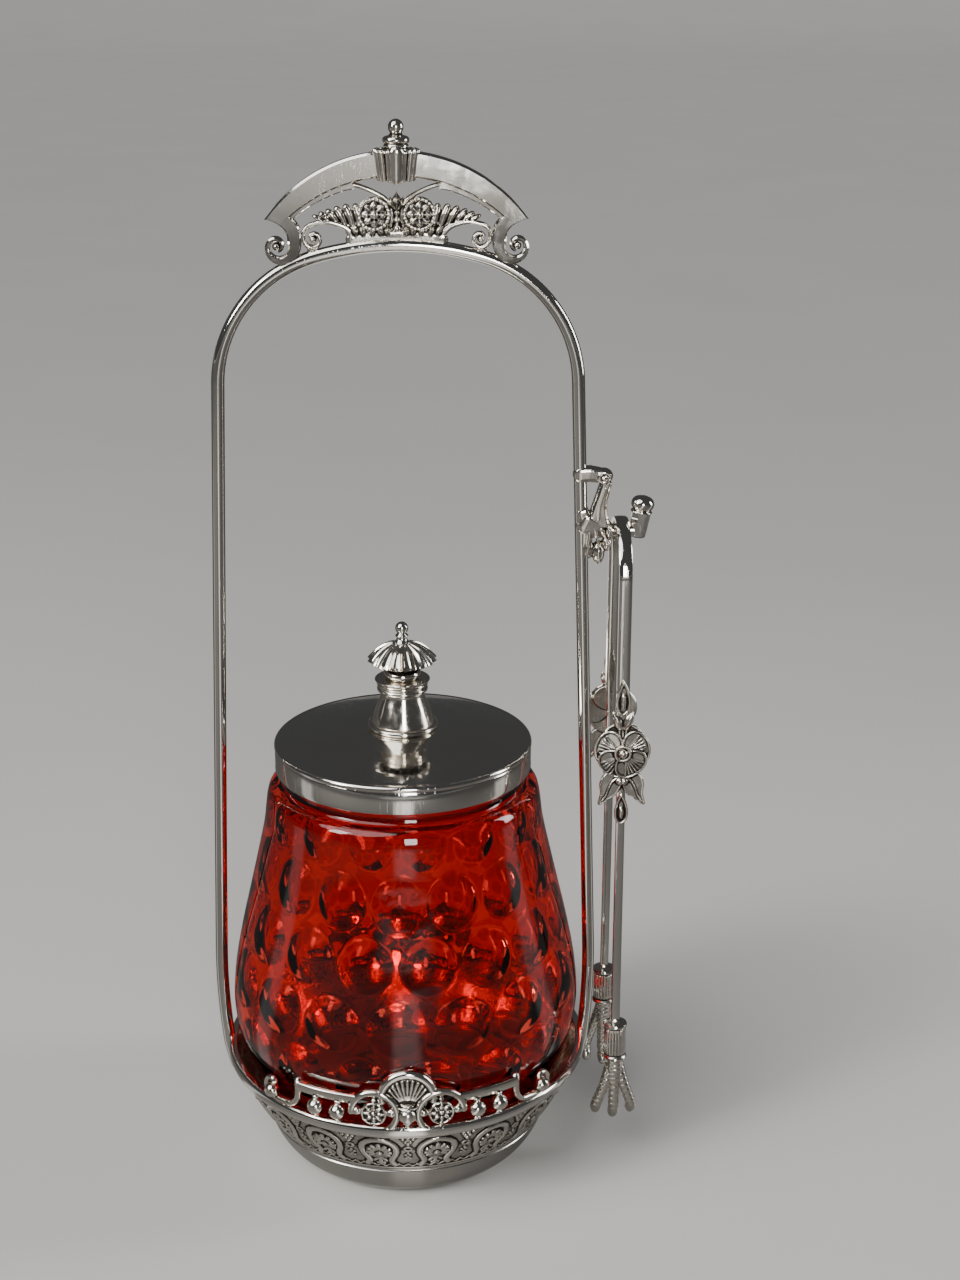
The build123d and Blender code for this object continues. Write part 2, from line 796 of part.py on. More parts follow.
def crest_finial(bar):
    """The reeded cup that grips the bar, with its beads and ball."""
    cup_z = bail_crown_z + crest_top_rise - crest_bar_w - overrun
    rim_z = cup_z + finial_cup_h
    collar_top = rim_z + finial_collar_h
    neck_z = collar_top + finial_neck_h
    ball_z = neck_z + sqrt(finial_ball_r**2 - finial_neck_r**2)
    side = Line((finial_cup_foot_r, cup_z), (finial_cup_r, rim_z))
    groove = finial_collar_r - finial_collar_h / 5
    half = rim_z + finial_collar_h / 2
    bead = finial_collar_h / 4
    low_bead = ThreePointArc((groove, rim_z), (finial_collar_r, rim_z + bead), (groove, half))
    high_middle = (groove + bead / 2, half + bead)
    high_bead = ThreePointArc((groove, half), high_middle, (finial_neck_r, collar_top))
    ball_top = (0, ball_z + finial_ball_r)
    ball = ThreePointArc((finial_neck_r, neck_z), (finial_ball_r, ball_z), ball_top)
    rest = ring_line(ball_top, (0, cup_z), (finial_cup_foot_r, cup_z))
    outline = [side, Line((finial_cup_r, rim_z), (groove, rim_z)), low_bead, high_bead]
    outline += [Line((finial_neck_r, collar_top), (finial_neck_r, neck_z)), ball] + list(rest)
    body = turned(outline)
    lean = degrees(atan((finial_cup_r - finial_cup_foot_r) / finial_cup_h))
    place = Pos((finial_cup_r + finial_cup_foot_r) / 2, 0, cup_z + finial_cup_h / 2)
    reed = place * Rot(0, lean, 0) * Cylinder(finial_reed_r, finial_cup_h * finial_reed_share)
    step = 360 / finial_reed_count
    body += [Rot(0, 0, step * (k + 0.5)) * reed for k in range(finial_reed_count)]
    return body - bar


# Hook


def hook_bracket(rod):
    """The leafy casting soldered to the rod, open between its stub and its slanted neck."""
    x, z = bail_x(hook_z), hook_z
    r, up, down = hook_reach, hook_up, hook_down
    points = [(x + r * a, z + up * b) for a, b in bracket_front_shares]
    points += [(x + r * a, z + down * b) for a, b in bracket_low_shares]
    points += [(x + r * a, z + up * b) for a, b in bracket_back_shares]
    return cut_flat(make_face(Polyline(*points, close=True).edges()), hook_depth) - rod


def knob_plane():
    """The plane at the foot of the upturned knob, leaning outwards."""
    x = bail_x(hook_z) + tong_offset + bow_w / 2 + barrel_r
    a = radians(knob_lean)
    return Plane((x, 0, hook_z - peg_r), (cos(a), 0, -sin(a)), (sin(a), 0, cos(a)))


def hook_peg():
    """The round peg that the tongs hang over."""
    start = bail_x(hook_z) + hook_reach
    end = bail_x(hook_z) + tong_offset + bow_w / 2 + barrel_r
    peg = Pos((start + end) / 2, 0, hook_z) * Cylinder(peg_r, end - start, rotation=(0, 90, 0))
    return peg - hook_knob()


def hook_knob():
    """A faceted barrel with a bun on top, at the end of the peg."""
    base = RegularPolygon(barrel_foot_r, barrel_sides)
    top = Pos(0, 0, barrel_h) * RegularPolygon(barrel_r, barrel_sides)
    barrel = loft([base, top])
    bun = Pos(0, 0, barrel_h + bun_h / 2) * scale(Sphere(bun_r), by=(1, 1, bun_h / 2 / bun_r))
    stalk = Pos(0, 0, barrel_h) * Cylinder(barrel_foot_r, bun_h / 2)
    return knob_plane() * (barrel + stalk + bun)


# Tongs


def bow_centre_z():
    """Height of the centre of the bow, which hangs over the peg."""
    return hook_z + peg_r + hang_clear + strip_t / 2 - bow_r


def tong_x():
    return bail_x(hook_z) + tong_offset


def spring_bow():
    """The spring of the tongs: a flat strip bent over the peg."""
    arc = CenterArc((0, 0), bow_r, arm_lean, 180 - 2 * arm_lean)
    path = Plane((tong_x(), 0, bow_centre_z()), (0, 1, 0), (1, 0, 0)) * arc
    section = Plane(path @ 0, (1, 0, 0), path % 0) * Rectangle(bow_w, strip_t)
    return sweep(section, path=path)


def arm_place():
    """Where an arm starts: the end of the bow, leaning out a little."""
    a = radians(arm_lean)
    return Pos(tong_x(), -bow_r * cos(a), bow_centre_z() + bow_r * sin(a)) * Rot(-arm_lean, 0, 0)


def arm_bar():
    """A flat arm, wide at the top and narrow below the flower, with its tang."""
    low = arm_l + tang_l
    w, n, t = bow_w / 2, arm_w / 2, arm_upper_l + arm_taper_l
    right = [(w, 0), (w, -arm_upper_l), (n, -t), (n, -low)]
    left = [(-x, z) for x, z in reversed(right)]
    return cut_flat(make_face(Polyline(*right, *left, close=True).edges()), strip_t)


def leaf(length, width):
    """A pointed oval, standing upright about its centre."""
    half = length / 2
    right = ThreePointArc((0, -half), (width / 2, 0), (0, half))
    left = ThreePointArc((0, half), (-width / 2, 0), (0, -half))
    return make_face([right, left])


def flower():
    """The pansy on the outside of an arm, with its bud, its two leaves and its tail."""
    y = -(strip_t + flower_t) / 2
    petals = Circle(petal_out)
    for k in range(petal_count):
        petals += Rot(0, 0, 360 * k / petal_count + 90) * (Pos(petal_out, 0) * Circle(petal_r))
    size = petal_out + petal_r
    under_z = -flower_s - size
    leaf_place = Pos(leaf_out, under_z - leaf_l * leaf_drop_share) * Rot(0, 0, leaf_turn)
    right_leaf = leaf_place * leaf(leaf_l, leaf_w)
    leaves = right_leaf + mirror(right_leaf, Plane.YZ)
    bud = Pos(0, -bud_s - bud_l / 2) * leaf(bud_l, bud_w)
    neck_l = flower_s - bud_s
    neck = Pos(0, -bud_s - neck_l / 2) * Rectangle(bud_w / 2, neck_l)
    tail = Pos(0, under_z - leaf_l * tail_drop_share - tail_l / 2) * leaf(tail_l, tail_w)
    spine_l = size + leaf_l * spine_share
    spine = Pos(0, -flower_s - spine_l / 2) * Rectangle(tail_w / 2, spine_l)
    casting = cut_flat(Pos(0, -flower_s) * petals, flower_t, y)
    thin = flower_t * flower_thin_share
    back = -(strip_t + thin) / 2
    casting += cut_flat(neck + bud + tail + spine + leaves, thin, back)
    boss = Pos(0, y - flower_t / 2, -flower_s) * Sphere(flower_boss_r)
    plate = Pos(0, 0, -flower_s) * Box(4 * size, strip_t, 4 * size)
    return casting + boss - plate


def ferrule():
    """The reeded sleeve between the arm and the claw, with a bead at each end."""
    low = arm_l + ferrule_h
    body = Pos(0, 0, -(arm_l + low) / 2) * Cylinder(ferrule_r, ferrule_h)
    for middle in (arm_l + ferrule_bead_h / 2, low - ferrule_bead_h / 2):
        body += Pos(0, 0, -middle) * Cylinder(ferrule_bead_r, ferrule_bead_h)
    return body - arm_bar()


def toe(side):
    """One toe, which spreads to a side and curls towards the other arm."""
    top = -(arm_l + ferrule_h)
    length = toe_l if side == 0 else toe_l - side_toe_short
    x = side * toe_spread
    ease = (palm_r - toe_r) * side
    middle = [(x * out, toe_curl * y, top - length * down) for out, y, down in toe_shares]
    end = (x * toe_end_share, toe_curl, top - length + toe_r)
    path = Spline((ease, 0, top - toe_r), *middle, end)
    bar = sweep(Plane(path @ 0, (1, 0, 0), path % 0) * Circle(toe_r), path=path)
    return bar + [Pos(*(path @ t)) * Sphere(toe_r) for t in (0, 1)]


def claw():
    """The bird's claw with three toes."""
    palm_h = toe_l * palm_h_share
    top = -(arm_l + ferrule_h)
    palm = Pos(0, 0, top - palm_h / 2) * Cone(palm_r * palm_top_share, palm_r, palm_h)
    body = palm + toe(-1) + toe(0) + toe(1)
    above = Pos(0, 0, top + toe_l / 2) * Box(toe_l, toe_l, toe_l)
    return body - above


def placed(piece, rear):
    """An arm's piece set on the front arm, or on the rear arm as its mirror image."""
    front = arm_place() * piece
    return mirror(front, Plane.XZ) if rear else front


def save(name, shape):
    shape.label = name
    export_step(shape, "parts/" + name + ".step")


def main():
    os.makedirs("parts", exist_ok=True)
    rod = bail_rod()
    rim = rim_border() - rod
    band = ornament_band() - rod
    save("foot_ring", foot_ring())
    save("base_floor", base_floor())
    save("ornament_band", band)
    save("rim_border", rim)
    front = gallery(rim)
    save("gallery_front", front)
    save("gallery_back", Rot(0, 0, 180) * front)
    save("bail_rod", rod)
    bar = crest_bar(rod)
    save("crest_bar", bar)
    save("crest_fretwork", crest_fretwork(rod, bar))
    save("crest_rosettes", crest_rosettes())
    save("crest_finial", crest_finial(bar))
    save("hook_bracket", hook_bracket(rod))
    save("hook_peg", hook_peg())
    save("hook_knob", hook_knob())
    save("glass_jar", glass_jar())
    save("lid_plate", lid_plate())
    save("lid_bell", lid_bell())
    save("lid_collar", lid_collar())
    save("lid_parasol", lid_parasol())
    save("lid_knob", lid_knob())
    save("lid_stud", lid_stud())
    save("lid_nut", lid_nut())
    save("spring_bow", spring_bow())
    for end, rear in (("front", False), ("rear", True)):
        save(end + "_arm_bar", placed(arm_bar(), rear))
        save(end + "_flower", placed(flower(), rear))
        save(end + "_ferrule", placed(ferrule(), rear))
        save(end + "_claw", placed(claw(), rear))


main()
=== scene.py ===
# %% [markdown]
# # A silver pickle castor
# This is a tall silver plated stand with a ruby glass jar in its cup, a domed lid and a pair of
# claw tongs on a hook. The engineering model arrives as a fixed frame, at its real size. What
# follows makes what the eye wants: smooth turned silver, old castings with dark in their
# hollows, stamped ornament, and blown glass with thumb prints.

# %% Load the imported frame
from math import cos, pi, radians, sin, tan

import bmesh
import bpy
import numpy as np
from mathutils import Matrix, Vector


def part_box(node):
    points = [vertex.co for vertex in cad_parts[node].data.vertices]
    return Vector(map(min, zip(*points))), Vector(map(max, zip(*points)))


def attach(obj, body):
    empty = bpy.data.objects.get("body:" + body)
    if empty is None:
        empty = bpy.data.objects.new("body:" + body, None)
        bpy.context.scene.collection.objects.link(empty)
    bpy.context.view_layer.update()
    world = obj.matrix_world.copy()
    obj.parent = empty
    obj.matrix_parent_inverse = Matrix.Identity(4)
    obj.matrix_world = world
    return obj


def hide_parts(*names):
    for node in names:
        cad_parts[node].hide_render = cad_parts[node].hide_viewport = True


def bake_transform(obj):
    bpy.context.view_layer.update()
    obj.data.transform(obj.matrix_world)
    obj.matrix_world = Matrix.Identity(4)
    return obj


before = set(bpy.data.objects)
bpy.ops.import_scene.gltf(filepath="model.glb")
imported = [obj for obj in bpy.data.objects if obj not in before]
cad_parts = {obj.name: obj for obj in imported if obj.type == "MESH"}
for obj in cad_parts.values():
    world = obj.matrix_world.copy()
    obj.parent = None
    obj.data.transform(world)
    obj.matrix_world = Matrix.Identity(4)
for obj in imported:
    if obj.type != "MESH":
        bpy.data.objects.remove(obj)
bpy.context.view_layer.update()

MM = 0.001

# %% [markdown]
# ## Shapes are points and faces
# Everything here is drawn in millimetres, and becomes metres when a finished mesh is written.
# A small class holds the points and the four-cornered faces of a shape, so that shapes can be
# added, moved, turned and bent like pieces of wax. A plain list would do as well, but then each
# step would have to carry its own bookkeeping.

# %% A class for shapes


class Shape:
    """Points in millimetres, and the faces between them. Shapes add up, move, turn and bend."""

    def __init__(self, points, faces):
        self.points = np.asarray(points, float).reshape(-1, 3)
        self.faces = np.asarray(faces, int).reshape(-1, 4)

    def __add__(self, other):
        points = np.vstack([self.points, other.points])
        return Shape(points, np.vstack([self.faces, other.faces + len(self.points)]))

    def __radd__(self, zero):
        return self

    def at(self, x=0, y=0, z=0):
        return Shape(self.points + [x, y, z], self.faces)

    def sized(self, x=1, y=1, z=1):
        return Shape(self.points * [x, y, z], self.faces)

    def turned(self, axis, angle):
        spin = np.array(Matrix.Rotation(radians(angle), 3, axis))
        return Shape(self.points @ spin.T, self.faces)

    def bent(self, place):
        return Shape(place(self.points), self.faces)


def mirrored(shape):
    """A shape and its mirror image across the middle."""
    return shape + shape.sized(x=-1)


def grid_faces(rows, columns, wrap_rows=False, wrap_columns=True):
    """Faces between the points of a grid, which can close on itself either way."""
    i = np.arange(rows if wrap_rows else rows - 1)[:, None]
    j = np.arange(columns if wrap_columns else columns - 1)[None, :]
    down, right = (i + 1) % rows, (j + 1) % columns
    corners = (i * columns + j, i * columns + right, down * columns + right, down * columns + j)
    return np.stack(np.broadcast_arrays(*corners), -1).reshape(-1, 4)


# %% [markdown]
# ## Lines to draw with
# A silversmith's outlines are arcs and easy curves. One helper takes an arc through three
# points, one eases a curve through any number of points, and one rounds the corners of a
# straight-sided outline, because no real edge is perfectly sharp and it is the small round that
# catches the light.

# %% Arcs, easy curves and rounded corners


def arc_through(start, middle, end, count=12):
    """Points on the arc through three points of a plane."""
    (ax, ay), (bx, by), (cx, cy) = start, middle, end
    d = 2 * (ax * (by - cy) + bx * (cy - ay) + cx * (ay - by))
    a2, b2, c2 = ax**2 + ay**2, bx**2 + by**2, cx**2 + cy**2
    ux = (a2 * (by - cy) + b2 * (cy - ay) + c2 * (ay - by)) / d
    uy = (a2 * (cx - bx) + b2 * (ax - cx) + c2 * (bx - ax)) / d
    turns = np.unwrap([np.arctan2(y - uy, x - ux) for x, y in (start, middle, end)])
    return round_line(ux, uy, np.hypot(ax - ux, ay - uy), np.linspace(turns[0], turns[2], count))


def round_line(x, y, radius, angles):
    """Points at some angles, in radians, round a middle."""
    return np.stack([x + radius * np.cos(angles), y + radius * np.sin(angles)], -1)


def eased(points, steps=8):
    """A smooth curve through points, in steps from each one to the next."""
    p = np.asarray(points, float)
    p = np.vstack([2 * p[0] - p[1], p, 2 * p[-1] - p[-2]])
    t = np.linspace(0, 1, steps, endpoint=False)[:, None]
    runs = []
    for a, b, c, d in zip(p, p[1:], p[2:], p[3:]):
        slope = 2 * a - 5 * b + 4 * c - d
        runs.append(b + ((c - a) * t + slope * t**2 + (3 * b - a - 3 * c + d) * t**3) / 2)
    return np.vstack(runs + [p[-2:-1]])


def rounded(points, radius, count=5):
    """A closed outline with each corner rounded, or as much as its sides leave room for."""
    p = np.asarray(points, float)
    out = []
    for before, here, after in zip(np.roll(p, 1, 0), p, np.roll(p, -1, 0)):
        into, away = before - here, after - here
        room = 0.45 * min(np.linalg.norm(into), np.linalg.norm(away))
        reach = min(radius, room)
        into, away = into / np.linalg.norm(into), away / np.linalg.norm(away)
        t = np.linspace(0, 1, count)[:, None]
        start, end = here + into * reach, here + away * reach
        out.append((1 - t) ** 2 * start + 2 * t * (1 - t) * here + t**2 * end)
    return np.vstack(out)


# %% [markdown]
# ## Turning, sweeping and beads
# Three tools make most of a silver stand. Turning spins an outline about the upright axis, as a
# lathe or a spinning chuck does. Sweeping carries a section along a line, as drawn wire is bent.
# A bead is a ball turned from half a circle, made with few faces because there are many of them.
# Flat work is drawn upright, as it is seen from the front: a wire is oval, a strap is flat.

# %% Turned, swept and round shapes


def turn(profile, around=144, closed=True):
    """What an outline of radius and height sweeps when it spins about the upright axis."""
    r, z = np.asarray(profile, float).T
    a = np.linspace(0, 2 * pi, around, endpoint=False)
    points = [np.outer(r, np.cos(a)), np.outer(r, np.sin(a)), np.outer(z, np.ones(around))]
    return Shape(np.stack(points, -1), grid_faces(len(r), around, wrap_rows=closed))


def disc(radius, low, high, around):
    """A flat round plate."""
    return turn([(0.01, low), (radius, low), (radius, high), (0.01, high)], around)


def oval(width, height, count=12):
    """An oval section, drawn across and up."""
    a = np.linspace(0, 2 * pi, count, endpoint=False)
    return np.stack([np.cos(a) * width / 2, np.sin(a) * height / 2], -1)


def flat_bar(width, height, edge):
    """A flat section with rounded edges."""
    w, h = width / 2, height / 2
    return rounded([(-w, -h), (w, -h), (w, h), (-w, h)], edge, 3)


def sweep(path, section, size=1.0, up=(0, 1, 0), ends="round", loop=False):
    """A bar whose section follows a line of points. Its size can change along the line."""
    path = np.asarray(path, float)
    if loop:
        ahead = np.roll(path, -1, 0) - np.roll(path, 1, 0)
    else:
        ahead = np.gradient(path, axis=0)
    ahead /= np.linalg.norm(ahead, axis=1)[:, None]
    size = np.broadcast_to(np.asarray(size, float), len(path))
    if not loop:
        reach = np.abs(section).max() if ends == "round" else 0.0
        lean = np.radians([90, 65, 40, 18] if ends == "round" else [90])
        head = path[0] - np.outer(np.sin(lean), ahead[0]) * reach * size[0]
        tail = path[-1] + np.outer(np.sin(lean[::-1]), ahead[-1]) * reach * size[-1]
        path = np.vstack([head, path, tail])
        first, last = np.tile(ahead[0], (len(lean), 1)), np.tile(ahead[-1], (len(lean), 1))
        ahead = np.vstack([first, ahead, last])
        size = np.concatenate([size[0] * np.cos(lean), size, size[-1] * np.cos(lean[::-1])])
    across = np.cross(ahead, np.asarray(up, float))
    across /= np.linalg.norm(across, axis=1)[:, None]
    lift = np.cross(across, ahead)
    x, y = section[:, 0][None, :, None], section[:, 1][None, :, None]
    scale = size[:, None, None]
    points = path[:, None, :] + scale * (x * across[:, None, :] + y * lift[:, None, :])
    return Shape(points, grid_faces(len(path), len(section), wrap_rows=loop))


def in_plane(points):
    """Points of a flat drawing, which stands upright in x and z."""
    p = np.asarray(points, float)
    return np.stack([p[:, 0], 0 * p[:, 0], p[:, 1]], -1)


def wire(points, width, depth, count=12, size=1.0, **how):
    """An oval bar along a line of a flat drawing."""
    return sweep(in_plane(points), oval(width, depth, count), size, **how)


def strap(points, width, depth, edge, size=1.0, **how):
    """A flat bar along a line of a flat drawing."""
    return sweep(in_plane(points), flat_bar(width, depth, edge), size, **how)


def ball(radius, around=12, rings=7):
    """A bead about the origin."""
    a = np.linspace(-pi / 2, pi / 2, rings)
    return turn(round_line(0, 0, radius, a), around, closed=False)


def pebble(length, width, height, around=10, rings=6):
    """An oval bead that lies along x."""
    return ball(1, around, rings).turned("Y", 90).sized(length / 2, width / 2, height / 2)


# %% [markdown]
# ## From shape to finished piece
# A finished piece is a mesh in metres whose object stays at the origin, as the frame's own
# pieces do. Doubled points are merged, the faces are turned outwards, and edges sharper than a
# chosen angle stay crisp while the rest is shaded smooth.
#
# Old silver is dark in its hollows, because the polishing cloth never reaches them. So each
# mesh also gets a number at every point, called recess, which says how deep the point lies
# between its neighbours. It is worked out once from the mesh, so it looks the same from all
# sides, in any light.

# %% Write meshes, melt castings and mark hollows
DOUBLED = 0.002


def numbers_of(items, name, each=3, kind=float):
    """The same number, or few numbers, of every point, edge or face of a mesh."""
    values = np.zeros(len(items) * each, kind)
    items.foreach_get(name, values)
    return values.reshape(-1, each)


def store(mesh, name, values):
    """Keep a number for every point of a mesh."""
    kept = mesh.attributes.get(name) or mesh.attributes.new(name, "FLOAT", "POINT")
    kept.data.foreach_set("value", np.asarray(values, np.float32))


def mark_recesses(mesh, depth, width):
    """Store at each point how far it lies below the eased surface, as a share of a depth."""
    count = len(mesh.vertices)
    points, normal = numbers_of(mesh.vertices, "co") / MM, numbers_of(mesh.vertices, "normal")
    a, b = numbers_of(mesh.edges, "vertices", 2, int).T
    step = np.linalg.norm(points[a] - points[b], axis=1).mean()
    links = np.bincount(a, minlength=count) + np.bincount(b, minlength=count)
    soft = points
    for _ in range(int(np.clip((width / step) ** 2, 4, 40))):
        total = [
            np.bincount(a, soft[b, k], count) + np.bincount(b, soft[a, k], count) for k in range(3)
        ]
        soft = 0.3 * soft + 0.7 * np.stack(total, -1) / np.maximum(links, 1)[:, None]
    hollow = np.einsum("ij,ij->i", soft - points, normal) / depth
    store(mesh, "recess", np.clip(hollow, 0, 1))


def write_mesh(name, shape, sharp=35.0, hollows=0.0, width=0.8):
    """A Blender mesh in metres from a shape, with hollows of this depth in mm marked dark."""
    mesh = bpy.data.meshes.new(name)
    mesh.from_pydata((shape.points * MM).tolist(), [], shape.faces.tolist())
    work = bmesh.new()
    work.from_mesh(mesh)
    bmesh.ops.remove_doubles(work, verts=work.verts, dist=DOUBLED * MM)
    bmesh.ops.recalc_face_normals(work, faces=work.faces)
    work.to_mesh(mesh)
    work.free()
    mesh.polygons.foreach_set("use_smooth", [True] * len(mesh.polygons))
    mesh.set_sharp_from_angle(angle=radians(sharp))
    if hollows:
        mark_recesses(mesh, hollows, width)
    return mesh


def shape_of(mesh):
    """A mesh melted down into a shape in millimetres. The mesh itself is gone then."""
    corners = [tuple(p.vertices) for p in mesh.polygons]
    points = numbers_of(mesh.vertices, "co") / MM
    bpy.data.meshes.remove(mesh)
    return Shape(points, [c if len(c) == 4 else c + c[-1:] for c in corners])


def through_modifiers(mesh, add_modifiers):
    """The plain mesh that takes a mesh's place, under the modifiers that a function adds."""
    blank = bpy.data.objects.new("blank", mesh)
    bpy.context.scene.collection.objects.link(blank)
    add_modifiers(blank.modifiers)
    evaluated = blank.evaluated_get(bpy.context.evaluated_depsgraph_get())
    made = bpy.data.meshes.new_from_object(evaluated)
    blank.modifiers.clear()
    bpy.data.objects.remove(blank)
    bpy.data.meshes.remove(mesh)
    return made


def melted(shape, grain, ease=2):
    """The shape as one casting: all its bars and beads run together, as in a mould."""

    def melt_and_ease(modifiers):
        melt = modifiers.new("melt", "REMESH")
        melt.mode, melt.voxel_size = "VOXEL", grain * MM
        modifiers.new("ease", "SMOOTH").iterations = ease

    return shape_of(through_modifiers(write_mesh("melting", shape), melt_and_ease))


def dress(thing, finish):
    """Give an object its only material."""
    thing.data.materials.clear()
    thing.data.materials.append(finish)


def piece(name, made_of, finish, body, stands_for=(), slot=None, **edges):
    """An object at the origin that wears a finish and, given a body, hangs from an empty named
    after it.
    """
    mesh = write_mesh(name, made_of, **edges) if isinstance(made_of, Shape) else made_of
    made = bpy.data.objects.new(name, mesh)
    bpy.context.scene.collection.objects.link(made)
    dress(made, finish)
    if body:
        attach(made, body)
    if stands_for:
        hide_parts(*stands_for)
    print(name, len(mesh.polygons), "faces")
    return made


def span(node):
    """Lowest and highest corner of a CAD node, in millimetres."""
    low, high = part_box(node)
    return np.array(low) / MM, np.array(high) / MM


# %% [markdown]
# ## Nodes written as sums
# Materials and Geometry Nodes are both trees of nodes. Wiring them by hand takes many lines, so
# a Graph adds any node with one method, and a Wire, which is the output of a node, can be added,
# multiplied or compared in Python. 1 - mask works as well as mask * 2: each sign adds a Math
# node.

# %% A graph and its wires


class Graph:
    """A node tree with one method that adds any node to it."""

    def __init__(self, tree):
        self.tree = tree

    def node(self, kind, settings=None, inputs=None, output=0):
        made = self.tree.nodes.new(kind)
        for name, value in (settings or {}).items():
            setattr(made, name, value)
        for key, value in (inputs or {}).items():
            if isinstance(value, Wire):
                self.tree.links.new(value.socket, made.inputs[key])
            else:
                made.inputs[key].default_value = value
        return Wire(self, made.outputs[output]) if len(made.outputs) else None


class Wire:
    """The output of a node. Python's signs on it add Math nodes."""

    def __init__(self, graph, socket):
        self.graph, self.socket = graph, socket

    def math(self, operation, *others):
        values = dict(enumerate((self, *others)))
        return self.graph.node("ShaderNodeMath", {"operation": operation}, values)

    def output(self, name):
        return Wire(self.graph, self.socket.node.outputs[name])

    def __add__(self, other):
        return self.math("ADD", other)

    def __sub__(self, other):
        return self.math("SUBTRACT", other)

    def __rsub__(self, other):
        return self.math("MULTIPLY_ADD", -1.0, other)

    def __mul__(self, other):
        return self.math("MULTIPLY", other)

    def __truediv__(self, other):
        return self.math("DIVIDE", other)

    __radd__, __rmul__ = __add__, __mul__

    def between(self, low, high):
        """0 below low, 1 above high, and eased from one to the other."""
        limits = {"Value": self, "From Min": low, "From Max": high}
        return self.graph.node("ShaderNodeMapRange", {"interpolation_type": "SMOOTHSTEP"}, limits)


# %% [markdown]
# ## Silver
# Polished silver plate is a mirror with a slightly warm colour. What makes it look real is what
# disturbs the mirror: a faint uneven tarnish, smears that make it duller in patches, and hair
# scratches from years of wiping. All three are noise at different scales: patches of some
# 20 mm, smears of a few millimetres, and scratches that are noise stretched to long thin
# streaks. An image of scratches would do too, but noise has no seams and no resolution.
#
# The same recipe serves cast and stamped silver, with a darker colour and a duller surface
# wherever the mesh is marked as a recess.

# %% The recipe for silver


def colour(r, g, b):
    return (r, g, b, 1.0)


def mixed(graph, share, a, b):
    """Colour a where share is 0, and b where it is 1."""
    return graph.node("ShaderNodeMix", {"data_type": "RGBA"}, {0: share, 6: a, 7: b}, output=2)


def noise(graph, place, scale, detail, distortion=0.0):
    """Soft noise, with so many bumps to a metre."""
    inputs = {"Vector": place, "Scale": scale, "Detail": detail, "Distortion": distortion}
    return graph.node("ShaderNodeTexNoise", {}, inputs)


def bumped(graph, height, strength, distance):
    """The direction of a surface that a height disturbs."""
    inputs = {"Height": height, "Strength": strength, "Distance": distance}
    return graph.node("ShaderNodeBump", {}, inputs)


def marked(graph, name):
    """A number that is kept at the points of the mesh."""
    return graph.node("ShaderNodeAttribute", {"attribute_name": name}, output="Fac")


def new_material(name):
    """A material with an empty graph, the graph, and the place of each point on the object."""
    material = bpy.data.materials.new(name)
    material.use_nodes = True
    material.node_tree.nodes.clear()
    graph = Graph(material.node_tree)
    return material, graph, graph.node("ShaderNodeTexCoord", output="Object")


def closed_material(material, graph, inputs):
    """The material, once its graph ends in a Principled BSDF with these inputs."""
    surface = graph.node("ShaderNodeBsdfPrincipled", {}, inputs)
    graph.node("ShaderNodeOutputMaterial", {}, {"Surface": surface})
    return material


def streaks(graph, place, turns, along, across, density):
    """Thin stretched noise: hair scratches, or the lines of a brush, as a mask."""
    settings = {"Vector": place, "Rotation": turns, "Scale": (across, across, along)}
    stretched = graph.node("ShaderNodeMapping", {}, settings)
    return noise(graph, stretched, 1.0, 2.0).between(density, density + 0.1)


TARNISH, SHADE = colour(0.74, 0.68, 0.57), colour(0.06, 0.05, 0.04)
OXIDE = colour(0.03, 0.026, 0.022)
TARNISH_PATCHES, SMEARS = 45.0, 260.0
# How streaks are turned, their bumps to a metre along and across, and how rare they are.
SCRATCHES = (((0.4, 0.3, 0.2), 110.0, 2600.0, 0.63), ((1.3, -0.5, 0.8), 130.0, 3000.0, 0.64))
BRUSH_LINES = ((0, 0, 0), 4200.0, 6.0, 0.40)
LATHE_RINGS = ((0, 0, 0), 4200.0, 30.0, 0.4)
BUMP_DEPTH = 0.00012


def silver(name, bright, dark=SHADE, gloss=0.06, dull=0.11, scratch=0.5, brushed=0.0, depth=0.0):
    """Silver with tarnish, smears, scratches and, where depth is above 0, dark hollows."""
    material, graph, place = new_material(name)
    tarnish = noise(graph, place, TARNISH_PATCHES, 3.0)
    smear = noise(graph, place, SMEARS, 4.0, 0.6)
    grime = (marked(graph, "recess") * (0.6 + 0.8 * smear)).between(0.05, 0.6) * depth
    tinted = mixed(graph, tarnish.between(0.35, 0.75) * 0.3, colour(*bright), TARNISH)
    one_way, other_way = (streaks(graph, place, *way) for way in SCRATCHES)
    height = (one_way + other_way) * (-0.35 * scratch) + smear * 0.03
    if brushed:
        height += streaks(graph, place, *BRUSH_LINES) * brushed
    return closed_material(material, graph, {
        "Base Color": mixed(graph, grime, tinted, dark),
        "Metallic": 1.0,
        "Roughness": gloss + (dull - gloss) * smear.between(0.38, 0.72) + 0.25 * grime,
        "Normal": bumped(graph, height, 0.22, BUMP_DEPTH),
    })


plate_silver = silver("polished_silver_plate", (0.80, 0.77, 0.725), depth=0.8)
lid_silver = silver("wiped_lid_silver", (0.80, 0.77, 0.725), scratch=0.9, depth=0.8)
# Painted shade: the foot's satin silver is set much darker than the polished plate, so that it
# reads dark against the pale floor.
satin_silver = silver(
    "satin_spun_silver", (0.50, 0.485, 0.455), colour(0.1, 0.09, 0.07),
    gloss=0.22, dull=0.27, scratch=0.1, brushed=0.25,
)
frosted_silver = silver(
    "frosted_silver", (0.96, 0.94, 0.90), colour(0.2, 0.18, 0.15),
    gloss=0.50, dull=0.62, scratch=0.1,
)
cast_silver = silver(
    "hand_cast_silver", (0.82, 0.775, 0.70), OXIDE, gloss=0.10, dull=0.24, scratch=0.35, depth=1.0
)
stamped_silver = silver(
    "stamped_oxidised_silver", (0.77, 0.73, 0.655), OXIDE,
    gloss=0.14, dull=0.30, scratch=0.3, depth=1.0,
)
